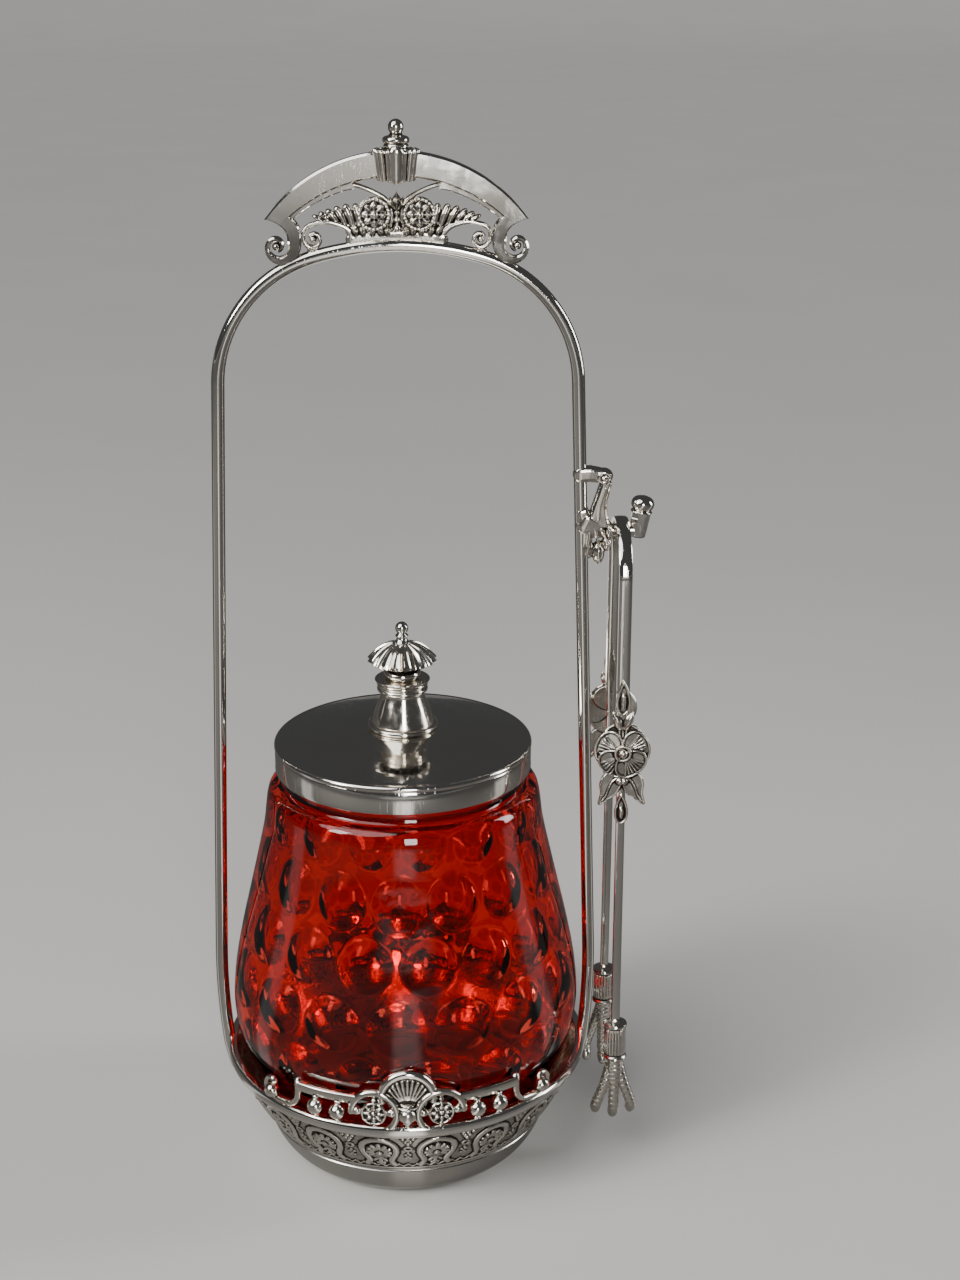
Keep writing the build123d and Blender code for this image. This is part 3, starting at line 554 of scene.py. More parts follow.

# %% [markdown]
# ## Ruby glass and brass
# Ruby glass takes its red all through, so a thick wall is darker than a thin one. The shader
# tints the light each time it passes a surface, and the two walls of the jar double the red as
# the real ones do. Light and shade are painted into that tint as well: the prints are painted a
# deep red, as painted shade, with a painted highlight at the lip, the webs between them are
# painted brighter, and the red is painted darker towards the shoulder, as painted shade. Blown
# glass is never quite flat, so a slow, weak bump lets the reflections swim a little. The brass
# of the hidden stud is plain turned metal with rings from the lathe.

# %% The glass and the brass


def ruby_glass():
    """Ruby glass, with painted shade deep in the prints, painted light in the webs between them and
    a painted highlight at each print's lip.
    """
    material, graph, place = new_material("blown_ruby_glass")
    swim, seeds = noise(graph, place, 70.0, 1.5), noise(graph, place, 900.0, 1.0)
    dish = marked(graph, "dish")
    deep, bright = colour(0.90, 0.045, 0.03), colour(0.97, 0.09, 0.045)
    skin = mixed(graph, swim.between(0.3, 0.75), deep, bright)
    # Painted light: the webs between the prints are tinted brighter and more orange, as if lit
    # through.
    web = mixed(graph, swim.between(0.35, 0.65), colour(0.93, 0.10, 0.03), colour(1.0, 0.24, 0.06))
    # Painted shade: the middle of each print is tinted a dark red.
    hollowed = mixed(graph, dish.between(0.05, 0.22), web, colour(0.62, 0.008, 0.010))
    # Painted highlight: a bright orange ring at the lip of each print.
    lip = dish.between(-0.10, 0.0) * (1 - dish.between(0.04, 0.16))
    pressed = mixed(graph, lip * 0.9, hollowed, colour(1.0, 0.52, 0.20))
    glass = mixed(graph, marked(graph, "wall"), skin, pressed)
    # Painted shade: the glass is painted a darker red towards the shoulder, up to half way to a
    # deep red.
    height = graph.node("ShaderNodeSeparateXYZ", {}, {"Vector": place}, output=2)
    rise = height.between(0.058, 0.098)
    return closed_material(material, graph, {
        "Base Color": mixed(graph, rise * 0.5, glass, colour(0.42, 0.0, 0.006)),
        "Roughness": seeds.between(0.55, 0.8) * 0.03,
        "IOR": 1.52,
        "Transmission Weight": 1.0,
        "Normal": bumped(graph, swim + seeds * 0.03, 0.15, 0.0009),
    })


def turned_brass():
    """Plain brass with rings from the lathe."""
    material, graph, place = new_material("turned_brass")
    rings = streaks(graph, place, *LATHE_RINGS)
    stain = noise(graph, place, 300.0, 3.0)
    return closed_material(material, graph, {
        "Base Color": mixed(
            graph, stain.between(0.4, 0.7), colour(0.78, 0.60, 0.30), colour(0.5, 0.34, 0.16)
        ),
        "Metallic": 1.0,
        "Roughness": 0.22 + 0.2 * stain,
        "Normal": bumped(graph, rings, 0.3, 0.0001),
    })


ruby = ruby_glass()
brass = turned_brass()

# %% [markdown]
# ## The spun foot and the rim
# The cup is spun over a chuck: a satin foot that swells outwards, a sloping band that carries
# the stamped ornament, and a bright rolled rim. Heights and radii come from the frame. Each
# outline gets small rounds at its edges before it is turned.

# %% Turn the foot and the rim
sheet = 1.4
foot_base_r, foot_belly = 34.3, (0.62, 0.42)
foot_top_r, _, foot_h = span("foot_ring")[1]
band_top_r, _, band_top = span("ornament_band")[1]
rim_low, rim_high = span("rim_border")
rim_r, rim_top = -rim_low[1], rim_high[2]


def foot_side(inset):
    """The swelling side of the foot."""
    out, up = foot_belly
    belly = (foot_base_r + (foot_top_r - foot_base_r) * out - inset, foot_h * up)
    return arc_through((foot_base_r - inset, 0), belly, (foot_top_r - inset, foot_h), 24)


lip_drop = 0.9
outer, inner = foot_side(0), foot_side(sheet)
lip = [(foot_top_r - lip_drop * 0.6, foot_h - lip_drop), (foot_top_r, foot_h - lip_drop * 0.6)]
foot = turn(np.vstack([outer[:-2], lip, outer[-1:], inner[::-1]]), 192)
piece("spun_foot", foot, satin_silver, "stand", ["foot_ring"], "satin_silver", sharp=50)

groove, land = 0.45, 1.7
rim_inner_r = band_top_r + 0.2
bulge = arc_through(
    (band_top_r + groove, band_top + groove), (rim_r, band_top + (rim_top - band_top) * 0.45),
    (rim_inner_r + land, rim_top), 20,
)
inner_edge = rounded([bulge[-1], (rim_inner_r, rim_top), (band_top_r - sheet, band_top)], 0.3)[3:-2]
rim = turn(np.vstack([[(band_top_r - groove / 2, band_top)], bulge[:-1], inner_edge]), 192)
piece("rolled_rim", rim, plate_silver, "stand", ["rim_border"], "silver_plate", sharp=40)
dress(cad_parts["base_floor"], frosted_silver)

# %% [markdown]
# ## Copies round an axis
# Much of this stand repeats round an upright axis: the stamped cartouches, the flutes of the
# parasol, the reeds of the finial and of the ferrules, the petals of the daisies. Each of them
# is drawn once, as one slice. A Geometry Nodes tree then sets the slices round the axis, merges
# the points along the seams and gives the ring its finish. The count is an input of the tree,
# so the same tree serves them all.

# %% The tree that copies a slice round the axis


def new_tree(name, inputs):
    """A Geometry Nodes tree with geometry in and out, and named inputs."""
    tree = bpy.data.node_groups.new(name, "GeometryNodeTree")
    tree.interface.new_socket("Geometry", in_out="OUTPUT", socket_type="NodeSocketGeometry")
    for label, kind in {"Geometry": "Geometry", **inputs, "Finish": "Material"}.items():
        tree.interface.new_socket(label, in_out="INPUT", socket_type="NodeSocket" + kind)
    graph = Graph(tree)
    return tree, graph, graph.node("NodeGroupInput")


def close_tree(graph, given, geometry):
    """End the graph in plain geometry that wears the finish it was given."""
    dressed = {"Geometry": geometry, "Material": given.output("Finish")}
    graph.node("NodeGroupOutput", {}, {0: graph.node("GeometryNodeSetMaterial", {}, dressed)})


def copies_tree():
    """Set copies of a slice round the upright axis."""
    tree, graph, given = new_tree("copies_round_the_axis", {"Copies": "Int", "Seam": "Float"})
    copies = given.output("Copies")
    turn_of_each = graph.node("GeometryNodeInputIndex") * (2 * pi) / copies
    spin = graph.node("ShaderNodeCombineXYZ", {}, {"Z": turn_of_each})
    points = graph.node("GeometryNodePoints", {}, {"Count": copies})
    slices = {"Points": points, "Instance": given.output("Geometry"), "Rotation": spin}
    ring = graph.node("GeometryNodeInstanceOnPoints", {}, slices)
    real = graph.node("GeometryNodeRealizeInstances", {}, {"Geometry": ring})
    seam = {"Geometry": real, "Distance": given.output("Seam")}
    close_tree(graph, given, graph.node("GeometryNodeMergeByDistance", {}, seam))
    return tree


def through_tree(mesh, tree, values):
    """The plain mesh that a tree makes of a mesh, with these values for its inputs."""

    def add_tree(modifiers):
        modifier = modifiers.new("tree", "NODES")
        modifier.node_group = tree
        for item in tree.interface.items_tree:
            if item.in_out == "INPUT" and item.name in values:
                modifier[item.identifier] = values[item.name]

    return through_modifiers(mesh, add_tree)


round_tree = copies_tree()


def ring_shape(slice_shape, copies, finish=stamped_silver):
    """A slice copied round the upright axis."""
    values = {"Copies": copies, "Seam": 0.01 * MM, "Finish": finish}
    return shape_of(through_tree(write_mesh("slice", slice_shape), round_tree, values))


# %% [markdown]
# ## The stamped band
# On the real castor this strip is rolled between engraved dies, so the ornament is a low relief
# with dark oxide in its hollows. Eighteen cartouches stand round it. Each is a horseshoe, one
# broad raised line with a daisy fan inside it, and between them hang beads and a small ring. A
# zigzag border runs along the foot of the band.
#
# Separate little solids on a wall would look stuck on. A relief is better drawn as a height
# over a flat slice: every point of a fine grid is lifted by the highest of the lines, petals
# and beads near it. The slice is then laid on the slope of the band and copied round.

# %% Draw one slice of relief
slice_count = 18
band_bulge = 0.5
band_mid_r = (foot_top_r + band_top_r) / 2
half_u = pi * band_mid_r / slice_count
band_middle = (band_mid_r + band_bulge, (foot_h + band_top) / 2)
side_line = arc_through((foot_top_r, foot_h), band_middle, (band_top_r, band_top), 40)
side_steps = np.linalg.norm(np.diff(side_line, axis=0), axis=1)
side_run = np.concatenate([[0], np.cumsum(side_steps)])
band_run = side_run[-1]
print("a slice is", round(2 * half_u, 2), "mm wide and", round(band_run, 2), "mm high")


def ridge(distance, half_width, height):
    """A rounded ridge, from the distance to its middle line."""
    return height * np.sqrt(np.clip(1 - (distance / half_width) ** 2, 0, None))


def line_distance(u, v, points):
    """Distance from each grid point to a line through points."""
    best = np.full(u.shape, 99.0)
    for (ax, ay), (bx, by) in zip(points, points[1:]):
        dx, dy = bx - ax, by - ay
        t = np.clip(((u - ax) * dx + (v - ay) * dy) / (dx * dx + dy * dy), 0, 1)
        best = np.minimum(best, np.hypot(u - ax - t * dx, v - ay - t * dy))
    return best


def petal(u, v, foot, angle, reach, half_width, height):
    """A drop-shaped petal that starts at a point and widens away from it, with a fold inside."""
    a = radians(angle)
    along = ((u - foot[0]) * cos(a) + (v - foot[1]) * sin(a)) / reach
    side = np.abs((v - foot[1]) * cos(a) - (u - foot[0]) * sin(a))
    width = half_width * np.sqrt(np.clip(along, 0, 1)) * np.sqrt(np.clip(1.02 - along**5, 0, 1))
    inside = (along > 0) & (along < 1) & (side < width)
    crown = np.sqrt(np.clip(1 - (side / np.maximum(width, 1e-6)) ** 2, 0, 1))
    fold = 0.3 * np.exp(-((side / (0.28 * half_width)) ** 2))
    return np.where(inside, height * (0.4 + 0.6 * along) * (crown - fold), 0)


def beads_at(u, v, beads):
    """Round beads, each given by its place across and up, its radius and its height."""
    return [ridge(np.hypot(u - x, v - z), radius, height) for x, z, radius, height in beads]


def relief(u, v):
    """Height of the ornament over the flat slice, in millimetres."""
    either_side, gap = np.abs(u), half_u - np.abs(u)
    shoe = eased([
        (0, 16.1), (1.8, 15.7), (3.7, 14.3), (4.7, 12.0), (4.6, 9.4), (3.7, 6.8), (3.3, 4.8),
        (4.1, 2.9),
    ], 5)
    zigzag = np.abs((either_side * 3.0 / half_u) % 1 - 0.5) * 2
    high_beads = (0, 16.9), (1.35, 16.9), (0.68, 15.6), (0, 14.4)
    low_beads = (0, 9.6), (0.62, 8.6), (0, 7.7), (0.55, 6.9)
    fan = [(90 + 29 * k, 4.5 - 0.27 * abs(k)) for k in range(-4, 5)]
    raised = [
        ridge(line_distance(either_side, v, shoe), 0.95, 0.68),
        *[petal(u, v, (0, 9.7), angle, reach, 0.95, 0.85) for angle, reach in fan],
        *[petal(u, v, (side * 0.3, 6.4), -90 + side * 48, 2.5, 0.7, 0.6) for side in (-1, 1)],
        petal(u, v, (0, 6.8), -90, 3.4, 0.85, 0.65),
        *beads_at(either_side, v, [(0, 9.7, 1.0, 1.0), (0.95, 3.7, 0.55, 0.5)]),
        *beads_at(gap, v, [(x, z, 0.62, 0.66) for x, z in high_beads]),
        *beads_at(gap, v, [(x, z, 0.5, 0.5) for x, z in low_beads]),
        ridge(np.abs(np.hypot(gap, v - 11.9) - 0.95), 0.34, 0.45),
        ridge(np.abs(v - 1.6 - 1.5 * zigzag), 0.42, 0.42),
        ridge(np.abs(v - 0.45), 0.4, 0.4),
        ridge(np.abs(v - band_run + 0.25), 0.45, 0.5),
    ]
    height = np.maximum.reduce(raised)
    grain = np.cos(u * 5.1) * np.cos(v * 4.3 + u) * 0.03
    return height + grain * (height < 0.05)


def on_band(u, v, h):
    """Lay a slice's place across, up and out on the slope of the band, facing the front."""
    r = np.interp(v, side_run, side_line[:, 0])
    z = np.interp(v, side_run, side_line[:, 1])
    slope = np.arctan2(np.gradient(side_line[:, 1]), np.gradient(side_line[:, 0]))
    a = np.interp(v, side_run, slope)
    r, z = r + h * np.sin(a), z - h * np.cos(a)
    angle = u / band_mid_r
    return np.stack([r * np.sin(angle), -r * np.cos(angle), z], -1)


def band_slice(columns=64, rows=72, sunk=0.35):
    """One slice of the band: the relief, sunk a little into the wall, and a plain back."""
    across = np.linspace(-half_u, half_u, columns + 1)
    u, v = np.meshgrid(across, np.linspace(0, band_run, rows))
    front = on_band(u, v, relief(u, v) - sunk)
    u, v = np.meshgrid(across, [band_run, band_run / 2, 0])
    back = on_band(u, v, -sheet + 0 * u)
    faces = grid_faces(rows + 3, columns + 1, wrap_rows=True, wrap_columns=False)
    return Shape(np.concatenate([front, back]), faces).turned("Z", 180 / slice_count)


band_mesh = write_mesh("ring", ring_shape(band_slice(), slice_count), 60, 0.14, 1.4)
x, y, z = numbers_of(band_mesh.vertices, "co").T / MM
out_of_band = np.hypot(x, y) - np.interp(z, side_line[:, 1], side_line[:, 0])
ground = 0.30 * np.clip((-0.05 - out_of_band) / 0.3, 0, 1)
recess = numbers_of(band_mesh.attributes["recess"].data, "value", 1)[:, 0]
store(band_mesh, "recess", np.maximum(recess, ground))
piece("stamped_band", band_mesh, stamped_silver, "stand", ["ornament_band"], "oxidised_silver")

# %% [markdown]
# ## The pierced gallery
# Two cast galleries stand on the rim, one in front and one behind, with a gap at each side
# where the rod passes. Each has a fan under a thick arch, a beaded ring at each side of it, a
# rail with two balls, and a bar that curls round a last ball.
#
# A casting has no crisp joints: where a bead meets a bar, metal has flowed. So the bars, beads
# and petals are laid out flat, overlapping, and then melted together on a fine voxel grid,
# which rounds every meeting. The flat casting is bent to the curve of the rim, as the maker
# bent it, and a copy turned half way round stands at the back.

# %% Lay out the gallery flat, melt it and bend it
gallery_mid_r = 51.65


def circle_line(x, z, radius, start, end, count=48):
    """Points round a middle, from one angle to another in degrees."""
    return round_line(x, z, radius, np.radians(np.linspace(start, end, count)))


def round_rim(angle):
    """How far along the flat drawing a place lies that is this many degrees round the rim."""
    return gallery_mid_r * radians(angle)


def flat_rosette(radius, depth):
    """A small round flower that faces the front: eight petals, a rim and a boss."""
    leaf = pebble(radius * 0.62, radius * 0.34, depth * 1.1, 10, 7).at(radius * 0.53, 0, depth / 5)
    petals = sum(leaf.turned("Z", 90 + 45 * k) for k in range(8))
    low, high, hole = -depth / 2, depth * 0.6, radius * 0.84
    rim = turn(rounded([(hole, low), (radius, low), (radius, high), (hole, high)], 0.2), 40)
    boss = ball(radius * 0.20, 14, 8).at(0, 0, depth / 3)
    return (petals + boss + rim + disc(radius * 0.9, low, depth / 6, 40)).turned("X", 90)


def pin_with_collars(x, low, high, radius, collars):
    """A thin upright pin of the gallery, with small collars on it."""
    pin = wire([(x, low), (x, (low + high) / 2), (x, high)], 2 * radius, 2 * radius, 10)
    return pin + sum(ball(radius * 1.9, 12, 7).sized(1, 1, 0.45).at(x, 0, z) for z in collars)


def gallery_fan():
    """The ribbed fan under its arch, on a round foot."""
    rise, foot_z, reach = 9.2, 4.6, 5.1
    parts = wire(circle_line(0, rise, 7.15, -8, 188), 2.6, 2.9, 14)
    parts += wire(circle_line(0, rise, 5.6, -5, 185, 40), 0.7, 1.5, 8)
    parts += disc(6.0, -0.4, 0.25, 48).turned("X", 90).at(0, 0.1, rise)
    for angle in np.linspace(8, 172, 11):
        end_x = reach * cos(radians(angle))
        end_rise = rise - foot_z + reach * sin(radians(angle))
        run = [(end_x * t, foot_z + 0.8 + (end_rise - 0.8) * t) for t in (0.12, 0.45, 0.75, 1.0)]
        width = 1.05 if abs(angle - 90) < 60 else 0.85
        parts += wire(run, width, 1.9, 10, [0.42, 0.75, 0.95, 1.0]).at(0, -0.1, 0)
    parts += ball(2.45, 20, 12).at(0, -0.8, 3.9)
    for radius, z in ((2.5, 6.3), (2.0, 7.2)):
        parts += ball(radius, 20, 8).sized(1, 0.9, 0.22).at(0, -0.6, z)
    return parts + pin_with_collars(0, -0.4, 3.0, 0.75, [1.2])


def gallery_ring(side):
    """The open ring beside the fan, with a rosette between beads and pins."""
    x, z = side * 9.2, 4.3
    start, end = (-56, 180) if side < 0 else (0, 236)
    ring = wire(circle_line(x, z, 6.3, start, end), 2.1, 2.3, 14).at(0, -0.6, 0)
    beads = sum(ball(1.3, 14, 9).at(x + way * 4.75, -0.6, z + 0.3) for way in (-1, 1))
    pins = pin_with_collars(x, z + 2.6, z + 6.2, 0.5, [z + 3.9, z + 4.9])
    pins += pin_with_collars(x, z - 5.0, z - 2.6, 0.5, [z - 3.7])
    tie = wire([(x - 6.0, z), (x, z), (x + 6.0, z)], 0.9, 0.9, 10)
    return ring + flat_rosette(3.5, 1.5).at(x, -0.7, z) + beads + pins + tie


def gallery_rail(side):
    """The stepped rail with its two balls on pins."""
    line = [(x, 8.2) for x in np.linspace(side * round_rim(15.5), side * round_rim(35.9), 12)]
    rail = strap(line, 2.3, 2.5, 0.7, ends="flat").at(0, -0.2, 0.1)
    rail += strap(line, 0.6, 2.0, 0.2, ends="flat").at(0, -0.1, -1.3)
    for angle in (21.6, 29.0):
        x = side * round_rim(angle)
        rail += ball(2.35, 20, 13).at(x, -1.0, 3.6)
        rail += pin_with_collars(x, -0.5, 7.6, 0.55, [0.5, 6.4]).at(0, -0.5, 0)
    return rail


def gallery_curl():
    """The bar that drops from the rail, curls along the rim and round the last ball."""
    run = eased([
        (-5.2, 8.6), (-5.2, 6.2), (-4.7, 3.3), (-2.9, 1.3), (0.2, 0.7), (3.6, 0.6),
        (6.4, 1.4), (7.5, 3.4), (6.7, 5.5), (4.9, 6.1), (3.9, 5.3),
    ], 5)
    bar = wire(run, 2.1, 2.3, 12, np.linspace(1, 0.72, len(run)))
    post = wire([(-5.2, 6.0), (-5.2, 9.2)], 2.1, 2.3, 12)
    return (bar + post + ball(2.15, 20, 13).at(4.1, -1.1, 3.2)).at(round_rim(41.6))


def bend_round_rim(p):
    """Bend the flat gallery to the curve of the rim, and lift it onto the rim."""
    r, a = gallery_mid_r - p[:, 1], p[:, 0] / gallery_mid_r
    return np.stack([r * np.sin(a), -r * np.cos(a), rim_top + np.maximum(p[:, 2], -0.15)], -1)


flat_gallery = gallery_fan() + mirrored(gallery_curl())
for side in (-1, 1):
    flat_gallery += gallery_ring(side) + gallery_rail(side)
cast_gallery = melted(flat_gallery, 0.2).bent(bend_round_rim)
casting_edges = {"sharp": 60, "hollows": 0.12, "width": 1.0}
for name, angle in (("gallery_front", 0), ("gallery_back", 180)):
    gallery = cast_gallery.turned("Z", angle)
    piece("cast_" + name, gallery, cast_silver, "stand", [name], "cast_silver", **casting_edges)

# %% [markdown]
# ## The bail
# The handle is one long rod, bent over a form and filed to a point at both ends, which are
# soldered to the outside of the cup. Its line is a chain of arcs and straight runs that pass
# smoothly from one to the next, and a round section swept along it gives the rod.

# %% Bend the rod
rod_r, shoulder_r, lower_bend_r = 1.8, 35.9, 216.0
crown_z, crown_turn = 265.7, radians(16.0)
lean, end_lean = radians(1.97), radians(1.97 - 8.5)
side_turn = radians(90) - lean
end_x, end_z = rim_r + rod_r - 1.9, rim_top - 2.4
low_x = end_x + lower_bend_r * (cos(lean) - cos(end_lean))
low_z = end_z + lower_bend_r * (sin(lean) - sin(end_lean))
drop = crown_z - low_z - shoulder_r * (cos(crown_turn) - cos(side_turn))
shoulder_x = shoulder_r * (sin(side_turn) - sin(crown_turn))
crown_r = low_x - tan(lean) * drop - shoulder_x
crown_r /= sin(crown_turn) - tan(lean) * (1 - cos(crown_turn))


def rod_x(z):
    """Distance of the rod's straight side from the middle, at a height."""
    return low_x - (z - low_z) * tan(lean)


def rod_z(x):
    """Height of the rod's middle line over a place on the crown or on the shoulder."""
    x = abs(x)
    if x <= crown_r * sin(crown_turn):
        return crown_z - crown_r + (crown_r**2 - x**2) ** 0.5
    reach = crown_r - shoulder_r
    hub_z = crown_z - crown_r + reach * cos(crown_turn)
    return hub_z + (shoulder_r**2 - (x - reach * sin(crown_turn)) ** 2) ** 0.5


def rod_line():
    """The rod's middle line, from the middle of the crown down to the tip."""
    t = np.linspace(0, crown_turn, 24)
    crown = np.stack([crown_r * np.sin(t), crown_z - crown_r * (1 - np.cos(t))], -1)
    hub = crown[-1] - shoulder_r * np.array([sin(crown_turn), cos(crown_turn)])
    t = np.linspace(crown_turn, side_turn, 30)[1:]
    shoulder = hub + shoulder_r * np.stack([np.sin(t), np.cos(t)], -1)
    z = np.linspace(shoulder[-1][1], low_z, 20)[1:]
    side = np.stack([rod_x(z), z], -1)
    t = np.linspace(lean, end_lean, 20)[1:]
    bend_x, bend_z = low_x - lower_bend_r * cos(lean), low_z - lower_bend_r * sin(lean)
    bend = round_line(bend_x, bend_z, lower_bend_r, t)
    down = np.array([sin(end_lean), -cos(end_lean)])
    tip = bend[-1] + np.outer([2, 4, 5.5, 7, 8], down)
    return np.vstack([crown, shoulder, side, bend, tip])


half = rod_line()
whole = np.vstack([half[:0:-1] * [-1, 1], half])
taper = np.interp(np.arange(len(half)), [0, len(half) - 6, len(half) - 1], [1, 1, 0.5])
rod = wire(whole, 2 * rod_r, 2 * rod_r, 28, np.concatenate([taper[:0:-1], taper]))
piece("bent_rod", rod, plate_silver, "stand", ["bail_rod"], "silver_plate")
print("the rod is", round(np.linalg.norm(np.diff(whole, axis=0), axis=1).sum(), 1), "mm long")

# %% [markdown]
# ## The crest's arched bar, its legs and its volutes
# Over the crown of the rod stands a pierced crest. Its top is a flat arched bar with bevelled
# edges, and its two pointed ends run down as wide flat S-shaped legs. Each leg narrows, touches
# the rod and winds up into a volute with a round eye. All of it is drawn as flat plate between
# two edge lines, so the faces stay truly flat and the bevels crisp, which a melted casting can't
# give. A volute is only a line whose radius shrinks as it turns.

# %% Draw the arched bar
tip_z, top_z, bar_w = crown_z + 6.8, crown_z + 24.2, 6.6
under_z = top_z - bar_w
tip_x, inner_tip_x = 34.4, 28.4


def over_crown(*points):
    """Points of the crest, whose heights are counted from the crown of the rod."""
    return np.array(points) + [0, crown_z]


def plate_between(outer, inner, depth, bevel):
    """A flat plate between two lines of equal count in x and z, with bevelled edges."""
    outer, inner = np.asarray(outer, float), np.asarray(inner, float)
    run = inner - outer
    width = np.linalg.norm(run, axis=1)[:, None]
    run = run / np.maximum(width, 1e-6)
    cut = np.minimum(bevel, 0.4 * width)
    d = depth / 2
    rings = [
        (outer, d - bevel), (outer + run * cut, d), (inner - run * cut, d), (inner, d - bevel),
        (inner, bevel - d), (inner - run * cut, -d), (outer + run * cut, -d), (outer, bevel - d),
    ]
    around = np.stack([in_plane(p) + [0, y, 0] for p, y in rings], 1)
    first, last = around[:1].mean(1, keepdims=True), around[-1:].mean(1, keepdims=True)
    caps = [np.repeat(first, 8, 1), around, np.repeat(last, 8, 1)]
    return Shape(np.concatenate(caps), grid_faces(len(outer) + 2, 8))


def winding(middle, angles, radii, widths):
    """The outer and inner edge of a strip that winds about a middle."""
    angle, radius, width = eased(list(zip(angles, radii, widths))).T
    return [round_line(*middle, radius + k * width / 2, np.radians(angle)) for k in (1, -1)]


def into_winding(outer, inner, wound, depth, bevel):
    """A plate between two easy edges that runs on into a winding."""
    lines = [eased([*edge, tuple(line[0])]) for edge, line in zip((outer, inner), wound)]
    joined = [np.vstack([line[:-1], on]) for line, on in zip(lines, wound)]
    return plate_between(*joined, depth, bevel)


outer_arc = arc_through((-tip_x, tip_z), (0, top_z), (tip_x, tip_z), 97)
inner_arc = arc_through((-inner_tip_x, tip_z), (0, under_z), (inner_tip_x, tip_z), 97)
bar = plate_between(outer_arc, inner_arc, 4.0, 0.55)

scroll = (31.5, rod_z(31.5) + 7.1)
wound = winding(
    scroll, [180, 225, 270, 315, 360, 450, 540, 610],
    [4.8, 4.4, 3.55, 2.75, 2.25, 1.9, 1.55, 1.3], [3.4, 2.7, 1.9, 1.5, 1.35, 1.2, 1.0, 0.7],
)
leg = into_winding(
    [(28.2, tip_z + 1.1), (26.5, tip_z - 0.4), (25.4, tip_z - 2.0), (24.95, tip_z - 3.9)],
    [(34.3, tip_z + 0.15), (31.9, tip_z - 0.7), (29.7, tip_z - 2.2), (28.7, tip_z - 4.1)],
    wound, 3.7, 0.45,
)
eye = ball(1, 24, 13).sized(1.12, 2.15, 1.12).at(scroll[0], 0, scroll[1])
small_leaf = wire([(27.4, scroll[1] - 4.4), (26.2, scroll[1] - 4.1)], 1.3, 2.8, 12, [1, 0.6])
bar += mirrored(leg + eye + small_leaf)
piece("arched_bar", bar, plate_silver, "stand", ["crest_bar"], "silver_plate", sharp=25)

# %% [markdown]
# ## The crest's fretwork
# Under the arch the casting is leafy. From a low base on the rod rise two daisies with a small
# lobed leaf between them. A wing of short slanted lobes lies on each side over a thin arc, which
# winds down into a smaller volute, and two curved strands join the daisies to the bar. Like the
# gallery it is laid out from overlapping strips, leaves and beads, and melted.

# %% Lay out the fretwork


def leaf_bar(line, width, depth):
    """A leaf that swells from its foot and tapers to its tip, with a rib along it."""
    line = eased(line, 6)
    t = np.linspace(0, 1, len(line))
    size = 0.35 + 1.05 * np.sin(pi * np.clip(t * 0.85 + 0.08, 0, 1)) ** 0.8
    size[-3:] *= [0.85, 0.6, 0.35]
    return wire(line, width, depth, 12, size) + wire(line[:-2], 0.35, depth * 1.35, 8, size[:-2])


def crest_half():
    """The right half of the fretwork."""
    middle = (21.9, rod_z(21.9) + 4.55)
    wound = winding(
        middle, [90, 45, 0, -90, -180, -270, -330],
        [3.9, 3.2, 2.45, 2.1, 1.85, 1.5, 1.25], [1.15, 1.2, 1.2, 1.15, 1.05, 0.95, 0.7],
    )
    parts = into_winding(
        over_crown((10.6, 3.0), (12.6, 4.8), (15.4, 6.0), (18.6, 6.6)),
        over_crown((12.4, 2.0), (14.0, 3.9), (16.2, 4.9), (19.0, 5.4)), wound, 2.5, 0.35,
    )
    parts += ball(1, 18, 11).sized(0.95, 1.5, 0.95).at(middle[0], 0, middle[1])
    parts += wire([(22.5, middle[1] - 2.2), (22.9, rod_z(21.9) + 0.6)], 1.7, 2.0)
    for low_x, low_z, high_x, high_z, width in (
        (9.6, 3.6, 10.6, 9.6, 2.1), (11.4, 4.2, 13.1, 9.5, 2.2), (13.3, 4.9, 15.4, 9.0, 2.1),
        (15.3, 5.5, 17.5, 8.4, 1.9), (17.2, 5.8, 19.3, 7.8, 1.7), (18.9, 6.0, 20.9, 7.2, 1.4),
    ):
        between = ((low_x + high_x) / 2 - 0.25, (low_z + high_z) / 2)
        lobe = eased(over_crown((low_x, low_z), between, (high_x, high_z)), 5)
        size = np.interp(np.linspace(0, 1, len(lobe)), [0, 0.7, 1], [0.6, 1.0, 0.9])
        parts += wire(lobe, width, 2.7, 12, size)
    strand = eased([
        (13.6, under_z - 2.6), (11.2, under_z - 2.1), (8.4, under_z - 2.9),
        *over_crown((5.2, 13.3), (2.7, 11.7), (1.5, 9.6), (1.25, 7.2), (1.7, 5.0)),
    ])
    parts += wire(strand, 1.35, 2.2, 12, np.linspace(1, 0.8, len(strand)))
    base = [*over_crown((0, 2.6), (6, 2.4)), (12.2, rod_z(12.2) + 2.4)]
    parts += strap(base, 2.4, 2.6, 0.5)
    parts += disc(4.1, -1.1, 1.1, 40).turned("X", 90).at(5.9, 0, crown_z + 8.0)
    leaves = (2.2, 0.2, 1.2), (4.0, 0.6, 0.7), (6.2, 0.7, 0.6), (8.6, 1.0, 1.4), (10.6, 1.7, 1.2)
    for x, slant, rise in leaves:
        line = over_crown((x, 2.2), (x + 0.3, 3.8), (x + slant, 3.8 + rise))
        parts += leaf_bar(line, 1.5, 2.7)
    return parts + ball(0.95, 12, 8).sized(1, 1.5, 1).at(11.6, 0, rod_z(11.6) + 2.6)


